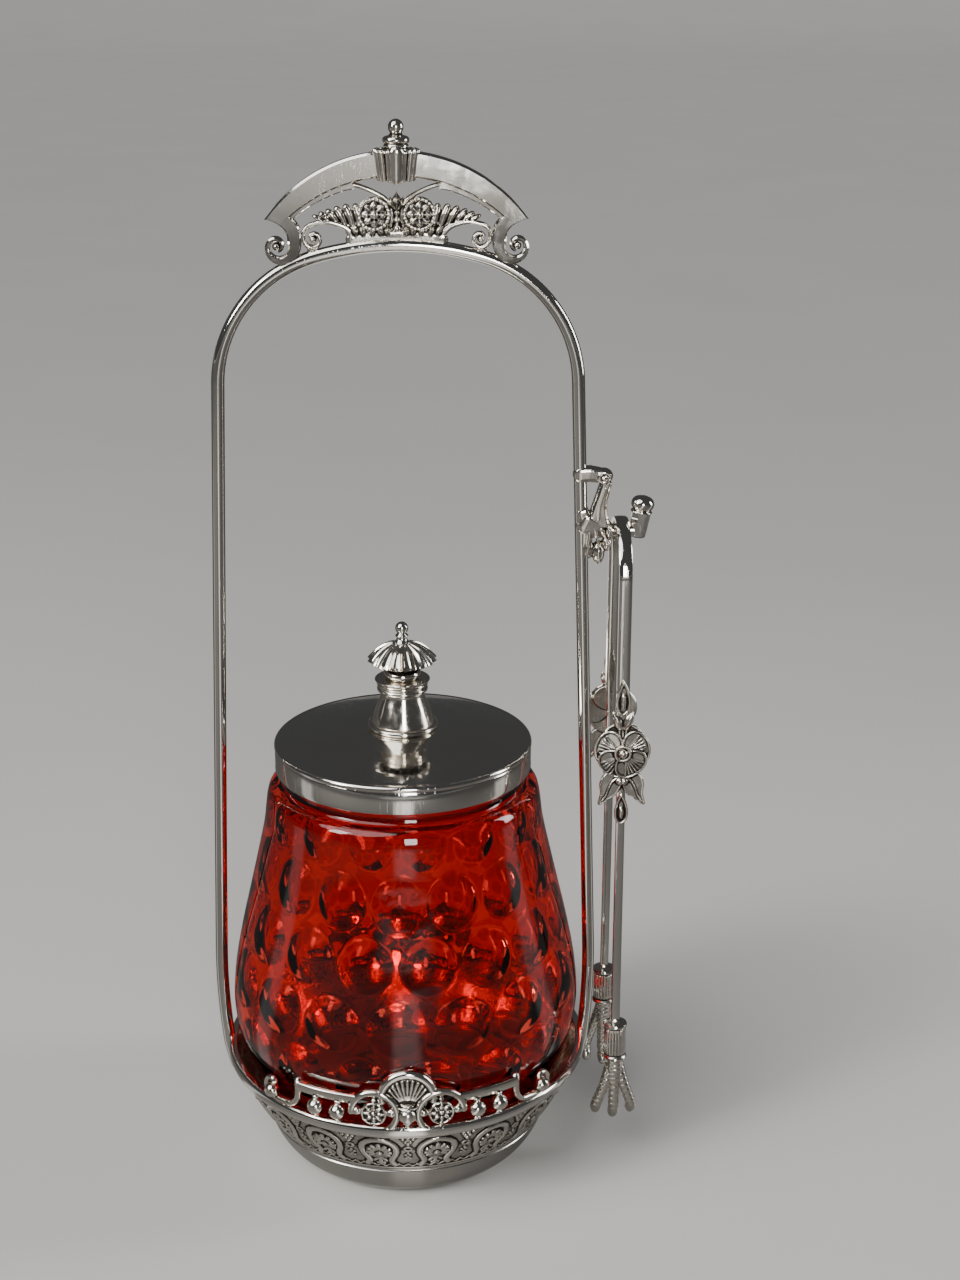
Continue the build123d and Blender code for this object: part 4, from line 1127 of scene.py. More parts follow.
def crest_middle():
    """The small lobed leaf between the two flowers."""
    stem = wire(over_crown((0, 1), (0, 6), (0, 11)), 1.5, 1.6)
    stem += leaf_bar(over_crown((0, 8.6), (0, 11.0), (0, 13.4)), 1.7, 2.4)
    for z, r in ((4.3, 1.15), (6.4, 0.95), (8.4, 0.85)):
        stem += ball(r, 14, 9).sized(1, 1.5, 1).at(0, 0, crown_z + z)
    return stem + mirrored(leaf_bar(over_crown((0.4, 9.0), (1.2, 10.8), (1.6, 12.0)), 1.2, 2.0))


fret = melted(mirrored(crest_half()) + crest_middle(), 0.17)
piece(
    "crest_casting", fret, cast_silver, "stand", ["crest_fretwork"], "cast_silver", **casting_edges
)

# %% [markdown]
# A thin moulding lies under each half of the bar. It follows the bar's inner edge and is thicker
# towards the middle. It could be melted with the leaves, but as a plate of its own it stays as
# crisp as the bar.

# %% Draw the moulding under the bar
right_half = inner_arc[(inner_arc[:, 0] > 11.0) & (inner_arc[:, 0] < 27.6)]
hub_z = (tip_z**2 + inner_tip_x**2 - under_z**2) / (2 * (tip_z - under_z))
inwards = [0, hub_z] - right_half
inwards /= np.linalg.norm(inwards, axis=1)[:, None]
thickness = np.interp(right_half[:, 0], [11, 14, 27.5], [1.75, 1.35, 0.9])[:, None]
moulding = plate_between(right_half - 0.4 * inwards, right_half + thickness * inwards, 2.9, 0.3)
piece("under_moulding", mirrored(moulding), plate_silver, "stand", slot="silver_plate", sharp=30)

# %% [markdown]
# ## The daisies
# The daisies on the crest are little castings soldered to both of its faces. Eight petals lie
# round a boss inside a beaded ring. The petal and its share of the ring are one slice, and the
# tree copies it eight times.

# %% Cast a daisy and set four of them


def daisy(radius):
    """A round flower with eight petals, a ring of beads and a boss, facing up."""

    def scaled_line(points):
        return [(radius * r, z) for r, z in points]

    reach = radius * 0.78
    leaf = pebble(reach * 0.78, reach * 0.62, 1.3, 12, 9).at(reach * 0.60, 0, 0.35)
    leaf += pebble(reach * 0.6, reach * 0.12, 0.7, 8, 6).at(reach * 0.62, 0, 0.95)
    bead = ball(radius * 0.12, 10, 7).at(radius * 0.90, 0, 0.45)
    ring = ring_shape(leaf + sum(bead.turned("Z", 15 * k) for k in (-1, 0, 1)), 8)
    rim = turn(scaled_line([(0.74, -0.2), (1, -0.2), (1, 0.35), (0.93, 0.6), (0.8, 0.5)]), 64)
    cup = scaled_line([(0.2, 0.3), (0.36, 0.3), (0.34, 0.95), (0.2, 1.1)])
    boss = ball(radius * 0.26, 18, 11).at(0, 0, 0.95) + turn(rounded(cup, 0.15), 32)
    return ring + rim + disc(radius * 0.9, -0.3, 0.3, 48) + boss


crest_daisy = melted(daisy(4.3), 0.13).turned("X", 90)
daisies = sum(crest_daisy.at(x, -1.1, crown_z + 8.0) for x in (-5.9, 5.9))
daisies += daisies.sized(y=-1)
piece(
    "crest_daisies", daisies, cast_silver, "stand", ["crest_rosettes"], "cast_silver",
    sharp=60, hollows=0.12, width=0.5,
)

# %% [markdown]
# ## The crest's finial
# A tulip cup grips the top of the arch, with upright reeds round it and a broad smooth panel in
# front and behind. Over it come two beads, a thin neck and a small ball. The cup and what stands
# on it are turned, the reeds are one slice copied round, and all of it is melted together.

# %% Turn the finial
cup_z, cup_h = under_z - 1.0, 8.4
cup_side = [(4.15, 0), (4.45, 2.4), (4.8, 5.4), (5.2, cup_h - 1.2)]
stack = [
    (4.9, -0.2), (3.6, 0.1), (3.1, 0.3),
    *arc_through((3.1, 0.4), (3.3, 0.85), (3.0, 1.3), 6),
    *arc_through((3.0, 1.4), (3.55, 2.3), (2.9, 3.2), 10),
    (2.0, 3.45), (1.6, 3.7), (1.55, 4.1),
]
bead_z = cup_z + cup_h - 0.5
top_ball = arc_through((1.6, bead_z + 4.2), (2.05, bead_z + 5.5), (0.01, 297.8), 16)
cup = [(0.01, cup_z), *(eased(cup_side, 5) + [0, cup_z])]
cup += [*(np.array(stack) + [0, bead_z]), *top_ball]
reed_line = [(4.35, 0, 0.5), (4.7, 0, 3), (5.05, 0, 5.6), (5.4, 0, cup_h - 1.1)]
reeds = ring_shape(sweep(eased(reed_line, 4), oval(1.65, 1.5)), 16)
panel_line = [(0, -4.3, 0.9), (0, -4.65, 3), (0, -4.95, 5.6), (0, -5.2, cup_h - 1.2)]
panel_size = np.linspace(0.9, 1.04, 13)
panel = sweep(eased(panel_line, 4), oval(3.9, 2.6, 24), panel_size, up=(0, 1, 0.1))
reeds = (reeds + panel + panel.sized(y=-1)).at(0, 0, cup_z)
finial = melted(turn(cup, 96, closed=False) + reeds, 0.13, 1)
piece(
    "reeded_finial", finial, cast_silver, "stand", ["crest_finial"], "silver_plate",
    sharp=60, hollows=0.14, width=0.9,
)

# %% [markdown]
# ## The hook for the tongs
# A leafy bracket is soldered to the right side of the rod. Its neck slants outwards from a
# rounded stub, with an open triangle between them, and its foot has three lobes of leaf. It is
# melted like the other castings.

# %% Lay out and melt the bracket
hook_z, peg_r, knob_x = 187.6, 1.9, 65.18
hook_x = rod_x(hook_z)


def bracket():
    """The bracket, in x and z from the place where the peg's line meets the rod."""
    t = np.linspace(0, 1, 40)
    curl = round_line(5.9, 15.1, 1.825 - 1.209 * t, radians(20) + 2.2 * pi * t)
    neck_left = eased([(5.2, 14.4), (4.0, 10.4), (3.0, 7.4), (2.2, 4.6), (2.0, 1.4)], 6)
    neck_right = eased([(8.2, 13.6), (7.5, 10.6), (6.9, 7.8), (7.3, 4.4), (8.0, 1.2)], 6)
    parts = strap([(-0.5, 15.9), (2.2, 16.1), (4.6, 15.7)], 4.3, 4.2, 1.1, [1, 1, 0.95])
    parts += ball(2.4, 18, 12).sized(1.15, 0.95, 0.98).at(5.8, 0, 15.4)
    parts += strap(curl, 0.75, 5.0, 0.3, ends="flat")
    parts += ball(0.88, 16, 9).sized(1, 5 / 0.88 / 1.7, 1).at(5.9, 0, 15.1)
    parts += plate_between(neck_left, neck_right, 4.2, 0.8)
    parts += strap([(0.4, 5.4), (1.4, 2.0), (1.4, -3.4)], 3.4, 4.0, 0.9)
    parts += strap([(1.2, 2.2), (4.6, 0.6), (6.9, 0.1)], 5.4, 4.2, 1.2, [1.1, 1.0, 0.8])
    for radius, size, x, z in (
        (2.0, (0.9, 1.05, 1.35), 2.0, -5.4), (2.2, (0.85, 1.05, 1.55), 4.8, -6.2),
        (1.7, (0.9, 1.1, 1.35), 7.1, -3.7),
    ):
        parts += ball(radius, 16, 10).sized(*size).at(x, 0, z)
    for path in (
        [(3.6, 1.2), (4.6, -3.0), (5.1, -8.6)], [(2.4, 1.0), (2.0, -3.0), (1.5, -7.4)],
        [(5.4, 0.8), (6.8, -2.0), (7.6, -5.0)], [(4.6, 3.6), (4.9, 7.4), (6.3, 12.2)],
    ):
        vein = wire(eased(path, 5), 0.6, 0.5, 8)
        parts += vein.at(0, -1.95, 0) + vein.at(0, 1.95, 0)
    return parts + ball(2.6, 18, 10).sized(0.45, 1, 1).at(7.7, 0, 0)


hook = melted(bracket(), 0.16).at(hook_x, 0, hook_z)
piece(
    "leafy_bracket", hook, cast_silver, "stand", ["hook_bracket"], "cast_silver",
    sharp=60, hollows=0.2, width=1.0,
)

# %% [markdown]
# A peg leaves the bracket and ends in an upturned barrel with eight flat sides and a bun on top,
# so the tongs can't slide off. The barrel is turned in only eight steps and isn't melted, which
# keeps its facets.

# %% Cut the faceted knob
barrel = [
    (0.01, 0.0), (1.9, 0.0), (2.25, 0.35), (2.5, 3.2), (2.75, 6.6), (2.75, 7.2), (2.2, 7.55),
    (0.01, 7.55),
]
bun_side = arc_through((2.4, 7.75), (3.2, 9.6), (1.5, 11.5), 12)
bun = [(0.01, 7.3), (1.9, 7.4), *bun_side, (0.01, 11.9)]
knob = turn(barrel, 8, closed=False).turned("Z", 22.5) + turn(bun, 48, closed=False)
knob += turn(rounded([(2.2, 6.9), (3.0, 7.0), (3.0, 7.5), (2.2, 7.6)], 0.25), 48)
knob = knob.turned("Y", 8.0).at(knob_x, 0, hook_z - peg_r)
piece("faceted_knob", knob, plate_silver, "stand", ["hook_knob"], "silver_plate", sharp=30)
dress(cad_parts["hook_peg"], plate_silver)

# %% [markdown]
# ## The ruby jar
# The jar is blown glass with rows of round thumb prints pressed in from the inside, and a smooth
# outside. The print rule is simple: sixteen prints to a row, and every second row moved on by
# half a print. That makes it work for Geometry Nodes. The jar is turned first, with two numbers
# at every point of its inner wall: how many prints round it lies, and how many rows up. The tree
# works out from them how far the point is from the middle of the nearest print, and pushes the
# wall outwards there as a shallow dish.

# %% Turn the glass
jar_wall, jar_floor_top = 3.0, 14.0
jar_belly_r, jar_shoulder_z, jar_foot_z = 50.4, 112.8, 9.0
neck_r, neck_low, neck_top = 34.6, 116.0, 125.8
jar_side = [
    (0.700, 0.035), (0.812, 0.11), (0.934, 0.22), (1.0, 0.34), (0.993, 0.45), (0.950, 0.57),
    (0.893, 0.69), (0.840, 0.80), (0.795, 0.90),
]
jar_h = jar_shoulder_z - jar_foot_z
side_points = [(jar_belly_r * r, jar_foot_z + jar_h * z) for r, z in jar_side]
shoulder = [(38.5, jar_shoulder_z), (35.3, 115.2), (neck_r, neck_low)]
outer_side = eased([(29.4, 9.35), *side_points, *shoulder], 4)
mouth = [
    (neck_r, 119.0), (neck_r, neck_top - 0.7), (neck_r - 0.4, neck_top - 0.1),
    (neck_r - 1.5, neck_top), (neck_r - 2.6, neck_top - 0.1), (neck_r - 3.0, neck_top - 0.7),
]
inner_side = eased([
    (neck_r - 3.0, 119.0), (neck_r - 3.0, neck_low + 0.5), (35.0, jar_shoulder_z + 0.2),
    *[(r - jar_wall, z) for r, z in side_points[:0:-1]],
], 14)
inner_side = np.vstack([inner_side[:14:4], inner_side[14:]])
floor_turn = eased([inner_side[-1], (32.6, 15.6), (28.5, 14.0), (20.0, 13.7)], 6)[1:]
jar_line = np.vstack([
    [(0.01, 9.6), (26.0, 9.6), (28.2, 9.0)], outer_side, mouth, inner_side, floor_turn,
    [(0.01, 13.6)],
])
jar_mesh = write_mesh("blown_jar", turn(jar_line, 480, closed=False), 50)
print("the jar has", len(jar_mesh.polygons), "faces")

# %% [markdown]
# The two numbers are stored on the mesh as attributes. Only points of the inner wall get the
# weight that lets a print move them. The rows are as far apart as the prints are across, plus
# a thin web of glass that stays between them.

# %% Number the wall and press the prints
prints_round, print_turn = 16, 19.25
print_low_z, print_pitch = 17.0, 17.0
floor_clear, fade, half_wall = 2.0, 5.0, 1.4


def number_wall(mesh):
    """Store where each point lies among the prints, and how far a print may move it."""
    x, y, z = numbers_of(mesh.vertices, "co").T / MM
    inside = np.hypot(x, y) < np.interp(z, outer_side[:, 1], outer_side[:, 0]) - half_wall
    inside = inside & (z > jar_floor_top + floor_clear) & (z < jar_shoulder_z)
    store(mesh, "round", (np.degrees(np.arctan2(y, x)) - print_turn) / (360 / prints_round))
    store(mesh, "climb", (z - print_low_z) / print_pitch)
    store(mesh, "wall", inside * np.clip((jar_shoulder_z + 0.4 - z) / fade, 0, 1))


def prints_tree():
    """Press staggered round dishes outwards into a numbered wall."""
    inputs = dict.fromkeys(("Depth", "Round size", "Upright size", "Softness"), "Float")
    tree, graph, given = new_tree("pressed_prints", inputs)

    def number(name):
        settings, values = {"data_type": "FLOAT"}, {"Name": name}
        return graph.node("GeometryNodeInputNamedAttribute", settings, values)

    climb = number("climb")
    row = climb.math("FLOOR")
    stagger = (row * 0.5).math("FRACT")
    turned = (number("round") + stagger + 0.5).math("FRACT") - 0.5
    across = turned / given.output("Round size")
    up = (climb.math("FRACT") - 0.5) / given.output("Upright size")
    inside = 1 - across * across - up * up
    soft = (inside * inside + given.output("Softness")).math("SQRT")
    low, high = row.math("GREATER_THAN", 0.5), row.math("LESS_THAN", 5.5)
    push = (inside + soft) * 0.5 * given.output("Depth") * number("wall") * low * high
    normal = graph.node("GeometryNodeInputNormal")
    outwards = graph.node("ShaderNodeVectorMath", {"operation": "SCALE"}, {0: normal, 3: push * -1})
    dish = inside * number("wall") * low * high
    marks = {"Geometry": given.output("Geometry"), "Name": "dish", "Value": dish}
    settings = {"data_type": "FLOAT", "domain": "POINT"}
    numbered = graph.node("GeometryNodeStoreNamedAttribute", settings, marks)
    moved = {"Geometry": numbered, "Offset": outwards}
    pressed = {"Geometry": graph.node("GeometryNodeSetPosition", {}, moved)}
    close_tree(graph, given, graph.node("GeometryNodeRealizeInstances", {}, pressed))
    return tree


number_wall(jar_mesh)
print_sizes = {"Depth": 1.7 * MM, "Round size": 0.45, "Upright size": 0.47, "Softness": 0.004}
print_sizes["Finish"] = ruby
pressed_jar = through_tree(jar_mesh, prints_tree(), print_sizes)
for name in ("round", "climb"):
    pressed_jar.attributes.remove(pressed_jar.attributes[name])
piece("ruby_jar", pressed_jar, ruby, "jar", ["glass_jar"], "ruby_glass")

# %% [markdown]
# ## The lid
# The lid is a spun disc with a turned-down skirt and a rolled edge, and everything over it is
# turned: a flared bell, a collar of two beads under a thin disc, a small dome, and the knob.
# Each outline is drawn from the height at which its piece sits. Only the parasol isn't round.
# Its edge is scalloped by eighteen flutes, so it is one flute as a slice, copied by the tree.

# %% Turn the lid, its bell, the collar and the knob
lid_r, lid_low, lid_edge_z, bell_z = 36.5, 118.9, 127.0, 130.5
collar_z, dome_z = bell_z + 10.9, bell_z + 14.7
parasol_z, knob_z = dome_z + 3.0, dome_z + 10.6
stud_r = 1.72


def from_height(z, points):
    """Points whose heights are counted from a height."""
    return np.array(points) + [0, z]


skirt = np.array([
    (-1.0, 0), *arc_through((-0.85, 0), (-0.4, 0.02), (-0.05, 0.45), 6), (-0.1, 1.2),
]) + [lid_r, lid_low]
edge = np.array([
    (-0.1, -1.9), (-0.25, -1.6), *arc_through((-0.1, -1.45), (0.05, -0.7), (-0.8, 0.05), 10),
    (-1.3, -0.1),
]) + [lid_r, lid_edge_z]
dish = [(lid_r - 2.0, lid_edge_z + 0.1), (28.0, 128.35), (20.0, 129.55), (12.0, 130.35)]
lid_line = np.vstack([
    skirt, edge, eased([*dish, (9.0, bell_z)], 6),
    [(stud_r, bell_z), (stud_r, bell_z - 1.2), (10.0, bell_z - 1.2), (20, 128.3), (31.4, 126.55)],
    [(31.4, neck_top + 0.05), (lid_r - 1.0, neck_top + 0.05)],
])
bell_line = from_height(bell_z, [
    (stud_r, 0), *arc_through((9.0, 0), (9.95, 0.8), (9.1, 1.6), 10), (8.75, 1.75),
    *eased([(8.9, 2.0), (8.15, 4.4), (7.1, 7.2), (6.2, 9.6), (6.0, 10.9)], 6), (stud_r, 10.9),
])
collar_line = from_height(collar_z, [
    (stud_r, 0), *arc_through((6.2, 0), (7.2, 0.75), (6.3, 1.5), 10),
    *arc_through((6.35, 1.55), (7.25, 2.25), (6.4, 2.95), 10), (6.3, 3.1),
    *arc_through((7.3, 3.2), (7.8, 3.45), (7.3, 3.75), 6), (4.6, 3.8), (stud_r, 3.8),
])
knob_line = from_height(knob_z, [
    (0.01, -0.4), (2.3, -0.4), (2.3, 0), (1.75, 0.5), (1.35, 1.2),
    *arc_through((1.4, 1.5), (1.85, 1.85), (1.4, 2.2), 8), (1.2, 2.5),
    *arc_through((1.35, 2.75), (1.85, 4.1), (0.01, 5.9), 16),
])
for name, line, around, bored, finish, node in (
    ("spun_lid", lid_line, 192, True, lid_silver, "lid_plate"),
    ("flared_bell", bell_line, 128, True, cast_silver, "lid_bell"),
    ("beaded_collar", collar_line, 128, True, cast_silver, "lid_collar"),
    ("small_knob", knob_line, 64, False, plate_silver, "lid_knob"),
):
    piece(name, turn(line, around, bored), finish, "lid", [node], "silver_plate", sharp=40)
for name in ("lid_stud", "lid_nut"):
    dress(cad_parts[name], brass)

# %% [markdown]
# ## The parasol
# A parasol rib is the crest between two concave flutes. In plan the radius is largest on the rib
# and falls in a smooth U between ribs, more so towards the edge. The edge flares up a little
# into a bright foot at each rib.

# %% Draw one flute of the parasol
flutes = 18


def parasol_slice(columns=21):
    """One flute, from the middle of a rib to the middle of the next, closed underneath."""
    side = eased(from_height(knob_z, [
        (2.1, -0.05), (3.8, -0.6), (5.8, -1.5), (7.7, -2.9), (9.2, -4.4), (9.9, -5.3),
    ]), 7)
    inner = [(9.4, -5.75), (8.0, -5.4), (4.2, -4.8), (3.5, -5.3)]
    dome = arc_through((3.5, parasol_z - 0.2), (5.3, dome_z + 1.3), (4.6, dome_z + 0.1), 10)
    line = np.vstack([
        side, from_height(knob_z, inner), [(3.4, parasol_z - 0.1)], dome, [(stud_r, dome_z)],
    ])
    depth = np.zeros((len(line), 1))
    depth[: len(side), 0] = np.linspace(0, 1, len(side)) ** 0.8
    depth[len(side) : len(side) + 2, 0] = [1.0, 0.4]
    across = np.linspace(-1, 1, columns)
    pull = depth * (1 - np.abs(across) ** 3.4) * 1.3
    lift = depth * np.abs(across) ** 3 * 0.25
    r, z = line[:, :1] - pull, line[:, 1:] + lift - 0.3 * pull
    angle = across * pi / flutes
    points = np.stack([r * np.cos(angle), r * np.sin(angle), z], -1)
    closed = np.concatenate([[[(0, 0, knob_z)] * columns], points, [[(0, 0, dome_z)] * columns]])
    return Shape(closed, grid_faces(len(closed), columns, wrap_columns=False))


parasol = write_mesh("ring", ring_shape(parasol_slice(), flutes, cast_silver), 50, 0.3, 1.0)
piece("fluted_parasol", parasol, cast_silver, "lid", ["lid_parasol"], "cast_silver")

# %% [markdown]
# ## The spring of the tongs
# One flat strip of silver is bent over the peg and hangs down as two arms. In the frame the arms
# are bodies of their own, hinged a little below the bend. The strip is made as two halves that
# meet over the peg, each of which runs smoothly from the bow into its arm.

# %% Bend the strip
tong_x, bow_r, strip_t, arm_lean = 60.78, 14.0, 1.6, 1.08
slack = 0.1
bow_z = hook_z + peg_r + slack + strip_t / 2 - bow_r
arm_l, ferrule_h, toe_l = 132.9, 12.0, 21.2
both_arms = (("front", False), ("rear", True))


def to_arm(shape, rear=False):
    """Move a shape from an arm's own place, hanging from the origin, to the front or rear arm."""
    lean = radians(arm_lean)
    placed = shape.turned("X", -arm_lean).at(tong_x, -bow_r * cos(lean), bow_z + bow_r * sin(lean))
    return placed.sized(y=-1) if rear else placed


def strip_half():
    """Half the bow and the whole front arm, as one flat strip."""
    bow = round_line(0, bow_z, bow_r, np.radians(np.linspace(90, 180 - arm_lean, 40)))
    bow = np.stack([0 * bow[:, 0] + tong_x, bow[:, 0], bow[:, 1]], -1)
    low_drops = np.linspace(58, arm_l + 3, 10)
    drops = np.concatenate([np.linspace(2, 38, 16), np.linspace(40, 52, 8), low_drops])
    arm = to_arm(Shape(np.stack([0 * drops, 0 * drops, -drops], -1), [])).points
    line = np.vstack([bow, arm])
    run = np.concatenate([np.zeros(len(bow)), drops])
    width = np.interp(run, [0, 38, 50, 136], [3.6, 3.6, 2.5, 2.5])
    ahead = np.gradient(line, axis=0)
    ahead /= np.linalg.norm(ahead, axis=1)[:, None]
    outwards = np.cross(ahead, [1.0, 0, 0])
    section = flat_bar(1, strip_t, 0.32)
    grid = line[:, None] + width[:, None, None] * section[None, :, :1] * [1.0, 0, 0]
    grid += section[None, :, 1:] * outwards[:, None]
    first, last = grid[:1].mean(1, keepdims=True), grid[-1:].mean(1, keepdims=True)
    n = len(section)
    closed = np.concatenate([np.repeat(first, n, 1), grid, np.repeat(last, n, 1)])
    return Shape(closed, grid_faces(len(grid) + 2, n))


for name, rear in both_arms:
    shape = strip_half().sized(y=-1 if rear else 1)
    nodes = [name + "_arm_bar"] + (["spring_bow"] if rear else [])
    made = piece(name + "_strip", shape, plate_silver, None, nodes, "silver_plate", sharp=40)
    y = (bow_r if rear else -bow_r) * MM
    name + "_arm"
    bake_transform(made)

# %% [markdown]
# ## The pansies
# On the outside of each arm sits a casting of a pansy: a bud over it, five overlapping petals
# with raised rims and fine lines, two ridged leaves under it and a drop-shaped tail. It is laid
# out flat, melted at a fine grain because it is seen close up, and set on the arm.

# %% Cast a pansy
flower_z, bud_z = -48.4, -28.0
under_flower_z = flower_z - 7.6


def plate_of(points, thick):
    """A flat plate with a closed outline, in x and z, centred in y."""
    p = in_plane(points)
    middle = np.repeat(p.mean(0)[None], len(p), 0)
    half = [0, thick / 2, 0]
    rings = [middle - half, p - half, p + half, middle + half]
    return Shape(np.stack(rings), grid_faces(4, len(p)))


def drop_leaf(length, width, top_z, rim_w):
    """A flat drop that hangs from its point, with a raised rim."""
    t = np.linspace(0, 2 * pi, 20, endpoint=False)
    x = width / 2 * np.sin(t) * np.sin(t / 2) ** 0.9
    line = np.stack([x, -length * (1 - np.cos(t)) / 2], -1)[::-1] + [0, top_z]
    rim = wire(line, rim_w, 1.0, 10, loop=True)
    return plate_of(line, 1.1).at(0, -0.5, 0) + rim.at(0, -1.0, 0)


def pansy_petal(size):
    """One petal over the middle of the flower: a plate with a raised rim and fine lines."""
    a = np.radians(np.linspace(0, 360, 24, endpoint=False))
    x, z = 4.75 * np.sin(a) * (1 + 0.06 * np.cos(a)), 3.80 + 3.60 * np.cos(a)
    line = np.stack([x, z], -1) * size
    rim = wire(line, 0.62, 0.66, 10, loop=True)
    petal = plate_of(line, 1.5).at(0, -0.75, 0) + rim.at(0, -1.45, 0)
    for x in range(-3, 4):
        vein = wire([(x * 0.3, 2.4), (x * 0.75, 4.6), (x, 6.6 - abs(x) * 0.35)], 0.36, 0.56, 6)
        petal += vein.at(0, -1.46, 0)
    return petal.turned("X", -4)


def pansy_leaf():
    """The right leaf under the flower, with three ridges."""
    outer = eased([(0.9, 1.9), (4.6, 1.0), (6.0, -1.8), (5.8, -4.8), (6.5, -7.9)], 6)
    inner = eased([(0.1, -0.6), (0.6, -2.8), (1.7, -4.9), (3.3, -5.9), (6.2, -8.1)], 6)
    leaf = plate_between(outer, inner, 1.3, 0.3) + wire(((outer + inner) / 2)[3:-3], 0.6, 2.0, 8)
    leaf += wire(outer[3:-1], 0.6, 1.6, 8) + wire(inner[2:-1], 0.5, 1.6, 8)
    return (leaf + ball(1.2, 14, 9).at(0.6, -0.2, -1.0)).at(0, -0.8, under_flower_z)


def pansy():
    """The whole casting, in x and z on the front arm, with its back at y = 0."""
    parts = drop_leaf(9.2, 4.4, bud_z, 0.8) + drop_leaf(8.4, 4.3, under_flower_z - 5.2, 0.75)
    for turn_by, out, size in (
        (0, -0.45, 1.10), (72, -0.05, 1.03), (288, -0.05, 1.03), (144, 0.75, 0.98),
        (216, 0.35, 0.98),
    ):
        parts += pansy_petal(size).at(0, -out, 0).turned("Y", turn_by).at(0, 0, flower_z)
    ring = turn(rounded([(1.6, 0), (2.5, 0), (2.4, 0.9), (1.7, 0.9)], 0.2), 40).turned("X", 90)
    parts += ball(1.35, 20, 12).at(0, -2.3, flower_z) + ring.at(0, -1.8, flower_z)
    bead = pebble(4.6, 1.5, 1.5, 12, 8).turned("Y", 90).at(0, -1.1, bud_z - 5.6)
    tail_bead = pebble(3.6, 1.3, 1.4, 12, 8).turned("Y", 90).at(0, -1.1, under_flower_z - 10.6)
    calyx = leaf_bar([(0.9, -41.4), (1.6, -39.2), (2.7, -36.6)], 1.9, 1.5).at(0, -0.8, 0)
    neck = strap([(0, -30), (0, -36), (0, -41)], 1.8, 1.2, 0.3).at(0, -0.6, 0)
    spine = [(0, under_flower_z + z) for z in (2, -6, -12)]
    spine = strap(spine, 1.5, 1.1, 0.3).at(0, -0.55, 0)
    return parts + bead + tail_bead + mirrored(calyx + pansy_leaf()) + neck + spine


cast_pansy = melted(pansy(), 0.14).at(0, -strip_t / 2 + 0.05, 0)
for name, rear in both_arms:
    piece(
        name + "_pansy", to_arm(cast_pansy, rear), stamped_silver, name + "_arm",
        [name + "_flower"], "oxidised_silver", sharp=60, hollows=0.12, width=0.7,
    )

# %% [markdown]
# ## Ferrules and claws
# Under each arm comes a reeded sleeve between two beads, and under that a bird's claw. The
# ferrule is a slice with one reed, copied round. A toe is a scaly finger: some twelve rings
# along a curve, then a smooth blunt end. The rings come from a size that swells and shrinks
# along the sweep.

# %% Turn the ferrule and grow the claw
reed_count = 20


def ferrule_slice(columns=9):
    """One reed of the ferrule between its beads."""
    bead = [(0.0, 0.0), (2.4, 0.0), (3.3, -0.35), (3.5, -0.85), (3.3, -1.4), (2.75, -1.75)]
    low_bead = [(r, -12.0 - z) for r, z in bead[::-1]]
    line = np.array([*bead, *[(3.0, z) for z in (-2, -4, -6, -8, -10)], *low_bead])
    across = np.linspace(-1, 1, columns)
    reeded = (line[:, :1] == 3.0) * (0.34 * np.sqrt(1 - across**2 * 0.98) - 0.2)
    r, angle = line[:, :1] + reeded, across * pi / reed_count
    points = np.stack([r * np.cos(angle), r * np.sin(angle), line[:, 1:] + 0 * angle], -1)
    return Shape(points, grid_faces(len(line), columns, wrap_columns=False))


def toe(side, top):
    """One toe with its rings, which spreads to a side and curls towards the other arm."""
    length = toe_l - 1.6 * abs(side)
    x = side * 5.0
    line = eased([
        (0.8 * side, 0.2, top - 1.0), (x * 0.55, -0.45, top - length * 0.42),
        (x, 0.0, top - length * 0.76), (x * 1.02, 2.2, top - length + 1.4),
    ], 28)
    t = np.linspace(0, 1, len(line))
    rings = 0.90 + 0.13 * np.abs(np.sin(t * pi * 12.5)) ** 0.7
    smooth_end = np.clip((t - 0.86) / 0.04, 0, 1)
    size = rings * (1 - smooth_end) + smooth_end
    size = size * np.interp(t, [0, 0.3, 0.8, 0.93, 1], [1.05, 1.0, 1.0, 1.0, 0.86])
    return sweep(line, oval(3.1, 3.1, 18), size, up=(1, 0, 0))


def claw():
    """The palm with its rings, and three toes."""
    top = -(arm_l + ferrule_h)
    z = np.linspace(0, 7.0, 40)
    r = np.interp(z, [0, 3, 7], [2.1, 2.4, 2.3]) + 0.16 * np.abs(np.sin(z * pi / 1.35)) ** 0.7
    palm = turn([(0.01, top), *np.stack([r, top - z], -1), (0.01, top - 7.4)], 40, closed=False)
    return palm + sum(toe(side, top) for side in (-1, 0, 1))


ferrule = ring_shape(ferrule_slice(), reed_count).at(0, 0, -arm_l)
for name, rear in both_arms:
    for label, shape, node, edges in (
        ("_reeded_ferrule", ferrule, "_ferrule", {"sharp": 40, "hollows": 0.1, "width": 0.4}),
        ("_bird_claw", claw(), "_claw", {"sharp": 50, "hollows": 0.06, "width": 0.4}),
    ):
        piece(
            name + label, to_arm(shape, rear), stamped_silver, name + "_arm", [name + node],
            "oxidised_silver", **edges,
        )

# %% [markdown]
# ## Floor, light and camera
# Silver shows what stands round it more than its own colour. A pale floor that reaches far past
# the picture gives a light ground, and a backdrop that rises behind it hides the horizon where
# the camera looks from low down. On a pale floor alone silver would look as pale as the floor, so
# a photographer lays dark card round the object, just outside the picture. Here the card is a
# broad ring that only mirrors see. It is as pale as the floor at its inner edge, so no hard line
# shows in the silver, and soft strips of light on it, in front, behind and at the sides, make
# the long bright lines down the middle of the lid and the glass.

# %% The floor, the backdrop and the dark card
FLOOR_REACH = 40.0
NOT_CAMERA = ("diffuse", "glossy", "transmission", "volume_scatter", "shadow")
NOT_GLOSSY = ("camera", "diffuse", "transmission", "volume_scatter", "shadow")


